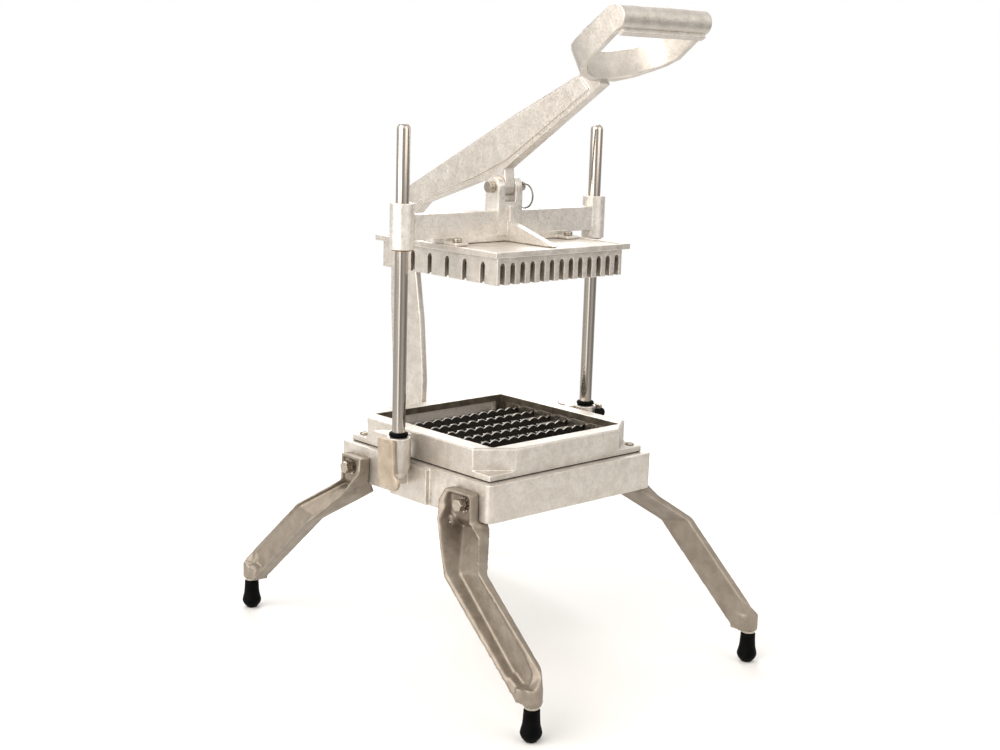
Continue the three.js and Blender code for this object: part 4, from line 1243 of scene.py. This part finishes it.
@dataclass
class BladeAssembly:
    """Blade holder with its screws, and the two rows of blades."""

    rounding: float = 1.0
    # Painted shade: the throat's walls take a dark finish.
    throat_shade: FinishBox = FinishBox(FINISH.throat_shade, (0.0, 0.0, 200.0), (87.6, 89.6, 240.0), 0.6)
    # Painted shade: the holder's foot under its flange takes a dark line.
    joint: FinishBox = FinishBox(FINISH.joint, (0.0, 0.0, 200.0), (110.0, 110.0, 202.5), 0.97)
    fine_count: int = 13
    fine_pitch: float = 12.7
    fine_foot: float = 204.7
    fine_half: float = 93.15
    coarse_count: int = 6
    coarse_pitch: float = 25.4
    coarse_foot: float = 212.6
    coarse_half: float = 91.35
    thickness: float = 1.1
    height: float = 7.6
    scallop: float = 2.3
    wave_steps: int = 8
    # The bevel of the cutting edge: its height, and half the flat that is left on top.
    ground: float = 0.7
    edge_half: float = 0.12
    # A face whose normal's upright share is under this is a blade's side.
    upright: float = 0.05
    rail_x: float = 79.15
    rail_in: float = 88.65
    rail_out: float = 94.65
    rail_foot: float = 201.6
    rail_top: float = 212.3
    bar_rounding: float = 0.4
    screw_corners: Sequence[str] = ("front_right", "rear_left")
    screw_rounding: float = 0.35

    def blade(self, half: float) -> bpy.types.Mesh:
        """Makes a scalloped strip along X, its cutting edge ground to a bevel on both sides.

        Args:
            half: half of the strip's length.

        Returns:
            The strip with its foot on the XY plane.
        """
        form = bmesh.new()
        count = int(half / self.fine_pitch) * self.wave_steps
        low = self.height - self.scallop
        crest = [(-half, low)]
        for i in range(-count, count + 1):
            wave = abs(math.cos(math.pi * i / self.wave_steps))
            crest.append((i * self.fine_pitch / self.wave_steps, self.height - self.scallop * (1 - wave)))
        crest.append((half, low))
        thick = self.thickness / 2
        # Each line along the strip: its distance from the middle, and under the crest, if not at the foot.
        lines = (
            (-thick, None),
            (-thick, self.ground),
            (-self.edge_half, 0.0),
            (self.edge_half, 0.0),
            (thick, self.ground),
            (thick, None),
        )
        rows = [
            [form.verts.new(Vector((x, y, 0 if drop is None else z - drop)) * MM) for x, z in crest]
            for y, drop in lines
        ]
        for near, far in zip(rows, rows[1:] + rows[:1]):
            for i in range(len(near) - 1):
                form.faces.new((near[i], near[i + 1], far[i + 1], far[i]))
        form.faces.new([row[0] for row in rows])
        form.faces.new([row[-1] for row in reversed(rows)])
        bmesh.ops.recalc_face_normals(form, faces=form.faces)
        return merge("blade", [form])

    def row(
        self, name: str, strip: bpy.types.Mesh, counts: tuple[int, int], pitch: float, foot: float
    ) -> bpy.types.Mesh:
        """Repeats a strip across the opening.

        Args:
            name: the row's name.
            strip: one blade.
            counts: how many stand along X and along Y.
            pitch: their spacing.
            foot: the height of their lower edge.

        Returns:
            The row.
        """
        # The strip's finish is painted dark as shade.
        steel = FINISH.blade.material()
        centre = (0.0, 0.0, foot)
        return Repeat(name, Layout.GRID, steel, counts=counts, pitch_mm=pitch, centre_mm=centre).mesh(strip)

    def dress(self, mesh: bpy.types.Mesh, foot: float) -> bpy.types.Mesh:
        """Puts the paler finish, ground metal with a painted highlight, on the ground faces near the cutting
        edge; the sides keep the strip's painted shade.

        Args:
            mesh: a row of blades.
            foot: the height of the blades' lower edge.

        Returns:
            The same mesh.
        """
        mesh.materials.clear()
        mesh.materials.append(FINISH.blade.material())
        mesh.materials.append(FINISH.blade_edge_highlight.material())
        least = (foot + self.height - self.scallop - self.ground) * MM
        for face in mesh.polygons:
            side = abs(face.normal.z) < self.upright
            face.material_index = 0 if side or face.center.z < least else 1
        return mesh

    def build(self, frame: dict[str, Any]) -> None:
        """Builds the holder, the blades, the bars that hold them and the screws.
        """
        Casting("blade_holder", "frame", self.rounding, finish_boxes=[self.throat_shade, self.joint]).build(frame)
        strip = self.blade(self.coarse_half)
        coarse = self.row("coarse_blades", strip, (1, self.coarse_count), self.coarse_pitch, self.coarse_foot)
        nodes = [f"coarse_blade_{i + 1}" for i in range(self.coarse_count)]
        publish("coarse_blades", self.dress(coarse, self.coarse_foot), "frame", nodes)
        strip = self.blade(self.fine_half)
        strip.transform(Matrix.Rotation(math.pi / 2, 4, "Z"))
        fine = self.row("fine_blades", strip, (self.fine_count, 1), self.fine_pitch, self.fine_foot)
        spans = ((self.rail_in, self.rail_out), (-self.rail_out, -self.rail_in))
        x, foot, top = self.rail_x, self.rail_foot, self.rail_top
        absorb(fine, merge("rails", [box_form((-x, near, foot), (x, far, top)) for near, far in spans]))
        publish("fine_blades", self.dress(fine, self.fine_foot), "frame", ["fine_blade_set"])
        for side in SIDES:
            Hardware(f"blade_bar_{side}", "frame", self.bar_rounding, "strip", segments=2).build(frame)
        for corner in self.screw_corners:
            Hardware(f"holder_screw_{corner}", "frame", self.screw_rounding, "slotted").build(frame)


@dataclass
class Carriage:
    """Push block, crosshead, bushes, screws and the clevis pin with its ring cotter."""

    block_rounding: float = 0.7
    crosshead_rounding: float = 1.2
    bush_rounding: float = 0.3
    screw_rounding: float = 0.4
    pin_rounding: float = 0.6
    slots: FinishBox = FinishBox(FINISH.slot, (0.0, 0.0, 380.5), (82.6, 83.6, 403.0))
    # Painted light: the crosshead takes a paler copy of the casting finish.
    bright: Sequence[Finish] = (FINISH.bright, FINISH.casting_edge)
    # The wire is round already, so no edge of it is sharp enough to be rounded.
    wire_rounding: float = 0.01
    wire_least_deg: float = 170.0

    def build(self, frame: dict[str, Any]) -> None:
        """Builds the carriage's pieces.
        """
        body = "carriage"
        bush = {"suffix": "ring", "finishes": (FINISH.bronze,), "slot": "bronze", "segments": 2}
        wire = {"suffix": "wire", "finishes": (FINISH.wire,), "slot": "polished_steel", "segments": 1}
        pieces = (
            Casting("push_block", body, self.block_rounding, segments=2, finish_boxes=[self.slots]),
            Casting("crosshead", body, self.crosshead_rounding, finishes=self.bright),
            *(Casting(f"rod_bush_{side}", body, self.bush_rounding, **bush) for side in SIDES),
            *(Hardware(f"block_screw_{corner}", body, self.screw_rounding, "cap") for corner in CORNERS),
            Hardware("clevis_pin", body, self.pin_rounding, "turned"),
            Casting("ring_cotter", body, self.wire_rounding, least_deg=self.wire_least_deg, **wire),
        )
        for piece in pieces:
            piece.build(frame)


@dataclass
class LeverAssembly:
    """The lever with its D grip."""

    rounding: float = 1.3

    def build(self, frame: dict[str, Any]) -> None:
        """Builds the lever."""
        Casting("handle", "handle", self.rounding).build(frame)


@dataclass
class LinkAssembly:
    """The link with the pins at both its ends."""

    rounding: float = 1.4
    pin_rounding: float = 0.4
    pins: Sequence[str] = ("hinge_pin", "hinge_washer", "link_clip", "link_pin")

    def build(self, frame: dict[str, Any]) -> None:
        """Builds the link and its pins.
        """
        Casting("link", "link", self.rounding).build(frame)
        for pin in self.pins:
            Hardware(pin, "link", self.pin_rounding, "turned", segments=2).build(frame)


@dataclass
class Studio:
    """Pale floor, soft light and the camera at the photograph's view."""

    camera_mm: Point = (-1011.7, -1094.6, 565.2)
    azimuth_deg: float = -43.56
    elevation_deg: float = -12.04
    roll_deg: float = 1.93
    focal_px: float = 1506.9
    centre_px: tuple[float, float] = (518.6, 402.0)
    image_px: tuple[int, int] = (1000, 750)
    sensor_mm: float = 36.0
    floor_half_m: float = 0.85
    floor_colour: str = "dfdedc"
    floor_roughness: float = 0.8
    floor_specular: float = 0.1
    target_m: Point = (0.0, 0.0, 0.3)
    # Each light's name, place in metres, size in metres, power in watts and colour.
    lights: Sequence[tuple[str, Point, float, float, str]] = (
        ("key", (-2.3, 0.1, 1.7), 3.2, 100.0, "fffaf4"),
        ("fill", (0.5, -2.6, 1.6), 2.4, 30.0, "fff8f2"),
        ("back", (1.4, 2.0, 2.4), 1.8, 60.0, "fafafc"),
    )
    # The surround's brightness near the horizon by the share of a turn, from -X through -Y and on.
    surround: Profile = (
        (0.0, 0.85),
        (0.035, 0.9),
        (0.055, 2.0),
        (0.085, 2.0),
        (0.11, 0.5),
        (0.156, 0.38),
        (0.247, 0.75),
        (0.3, 0.55),
        (0.378, 0.28),
        (0.528, 0.55),
        (0.775, 0.7),
        (0.925, 0.75),
        (1.0, 0.85),
    )
    surround_tint: Point = (1.0, 0.985, 0.96)
    surround_level: float = 0.9
    # The heights on a unit sphere between which the surround turns to the colour overhead.
    horizon: tuple[float, float] = (-0.05, 0.3)
    overhead: tuple[float, float, float, float] = (1.0, 0.99, 0.97, 1.0)

    def camera(self) -> None:
        """Places the camera from the azimuth, elevation and roll of the photograph."""
        azimuth, elevation, roll = map(math.radians, (self.azimuth_deg, self.elevation_deg, self.roll_deg))
        level = math.cos(elevation)
        ahead = Vector((-math.sin(azimuth) * level, math.cos(azimuth) * level, math.sin(elevation)))
        right = ahead.cross(Vector((0, 0, 1))).normalized()
        up = right.cross(ahead)
        turned_right = math.cos(roll) * right + math.sin(roll) * up
        turned_up = math.cos(roll) * up - math.sin(roll) * right
        width, height = self.image_px
        data = bpy.data.cameras.new("camera")
        data.sensor_width = self.sensor_mm
        data.lens = self.focal_px / width * self.sensor_mm
        data.shift_x = (width / 2 - self.centre_px[0]) / width
        data.shift_y = (self.centre_px[1] - height / 2) / width
        camera = placed("camera", data)
        turn = Matrix((turned_right, turned_up, -ahead)).transposed().to_4x4()
        camera.matrix_world = Matrix.Translation(Vector(self.camera_mm) * MM) @ turn
        bpy.context.scene.camera = camera

    def floor(self) -> None:
        """Lays a pale matt floor."""
        half = self.floor_half_m
        mesh = bpy.data.meshes.new("floor")
        ring = [(-half, -half, 0), (half, -half, 0), (half, half, 0), (-half, half, 0)]
        mesh.from_pydata(ring, [], [range(len(ring))])
        material = bpy.data.materials.new("pale_floor")
        material.use_nodes = True
        shader = material.node_tree.nodes["Principled BSDF"]
        shader.inputs["Base Color"].default_value = linear(self.floor_colour)
        shader.inputs["Roughness"].default_value = self.floor_roughness
        shader.inputs["Specular IOR Level"].default_value = self.floor_specular
        mesh.materials.append(material)
        placed("floor", mesh)

    def sky(self) -> None:
        """Makes a soft surround: pale overhead and behind, with brighter and darker stretches low down."""
        world = bpy.data.worlds.new("studio")
        bpy.context.scene.world = world
        world.use_nodes = True
        tree = world.node_tree
        tree.nodes.clear()
        place = add(tree, "ShaderNodeTexCoord").outputs["Generated"]
        split = add(tree, "ShaderNodeSeparateXYZ", Vector=place).outputs
        turn = add(tree, "ShaderNodeMath", {"operation": "ARCTAN2"}, i0=split["Y"], i1=split["X"])
        share = add(tree, "ShaderNodeMapRange", Value=turn, From_Min=-math.pi, From_Max=math.pi)
        ramp = add(tree, "ShaderNodeValToRGB", Fac=share)
        stops = ramp.color_ramp.elements
        stops.remove(stops[1])
        for i, (at, level) in enumerate(self.surround):
            stop = stops.new(at) if i else stops[0]
            stop.position = at
            stop.color = (*(level * part for part in self.surround_tint), 1)
        low, high = self.horizon
        rise = add(tree, "ShaderNodeMapRange", Value=split["Z"], From_Min=low, From_Max=high)
        mixed = add(tree, "ShaderNodeMix", RGBA, i0=rise, i6=ramp, i7=self.overhead)
        light = add(tree, "ShaderNodeBackground", Color=mixed, Strength=self.surround_level)
        plain = add(tree, "ShaderNodeBackground", Color=(1, 1, 1, 1), Strength=1.0)
        seen = add(tree, "ShaderNodeLightPath").outputs["Is Camera Ray"]
        shader = add(tree, "ShaderNodeMixShader", i0=seen, i1=light, i2=plain)
        add(tree, "ShaderNodeOutputWorld", Surface=shader)

    def build(self) -> None:
        """Builds the stage and its lights."""
        self.camera()
        self.floor()
        self.sky()
        for name, place, size, power, colour in self.lights:
            data = bpy.data.lights.new(name, "AREA")
            data.size = size
            data.energy = power
            data.color = linear(colour)[:3]
            lamp = placed(name, data)
            lamp.location = place
            aim = Vector(place) - Vector(self.target_m)
            lamp.rotation_euler = aim.to_track_quat("Z", "Y").to_euler()
        bpy.context.scene.view_settings.view_transform = "Standard"


def corners(box: tuple[Vector, Vector]) -> list[list[float]]:
    """Turns a box to plain lists of numbers."""
    return [list(corner) for corner in box]


def main() -> None:
    logging.basicConfig(level=logging.INFO, format="%(message)s")
    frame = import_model()
    Studio().build()
    for kind in (BaseAssembly, GuideRods, BladeAssembly, Carriage, LeverAssembly, LinkAssembly):
        LOG.info("building %s", kind.__name__)
        kind().build(frame)


if __name__ == "__main__":
    main()
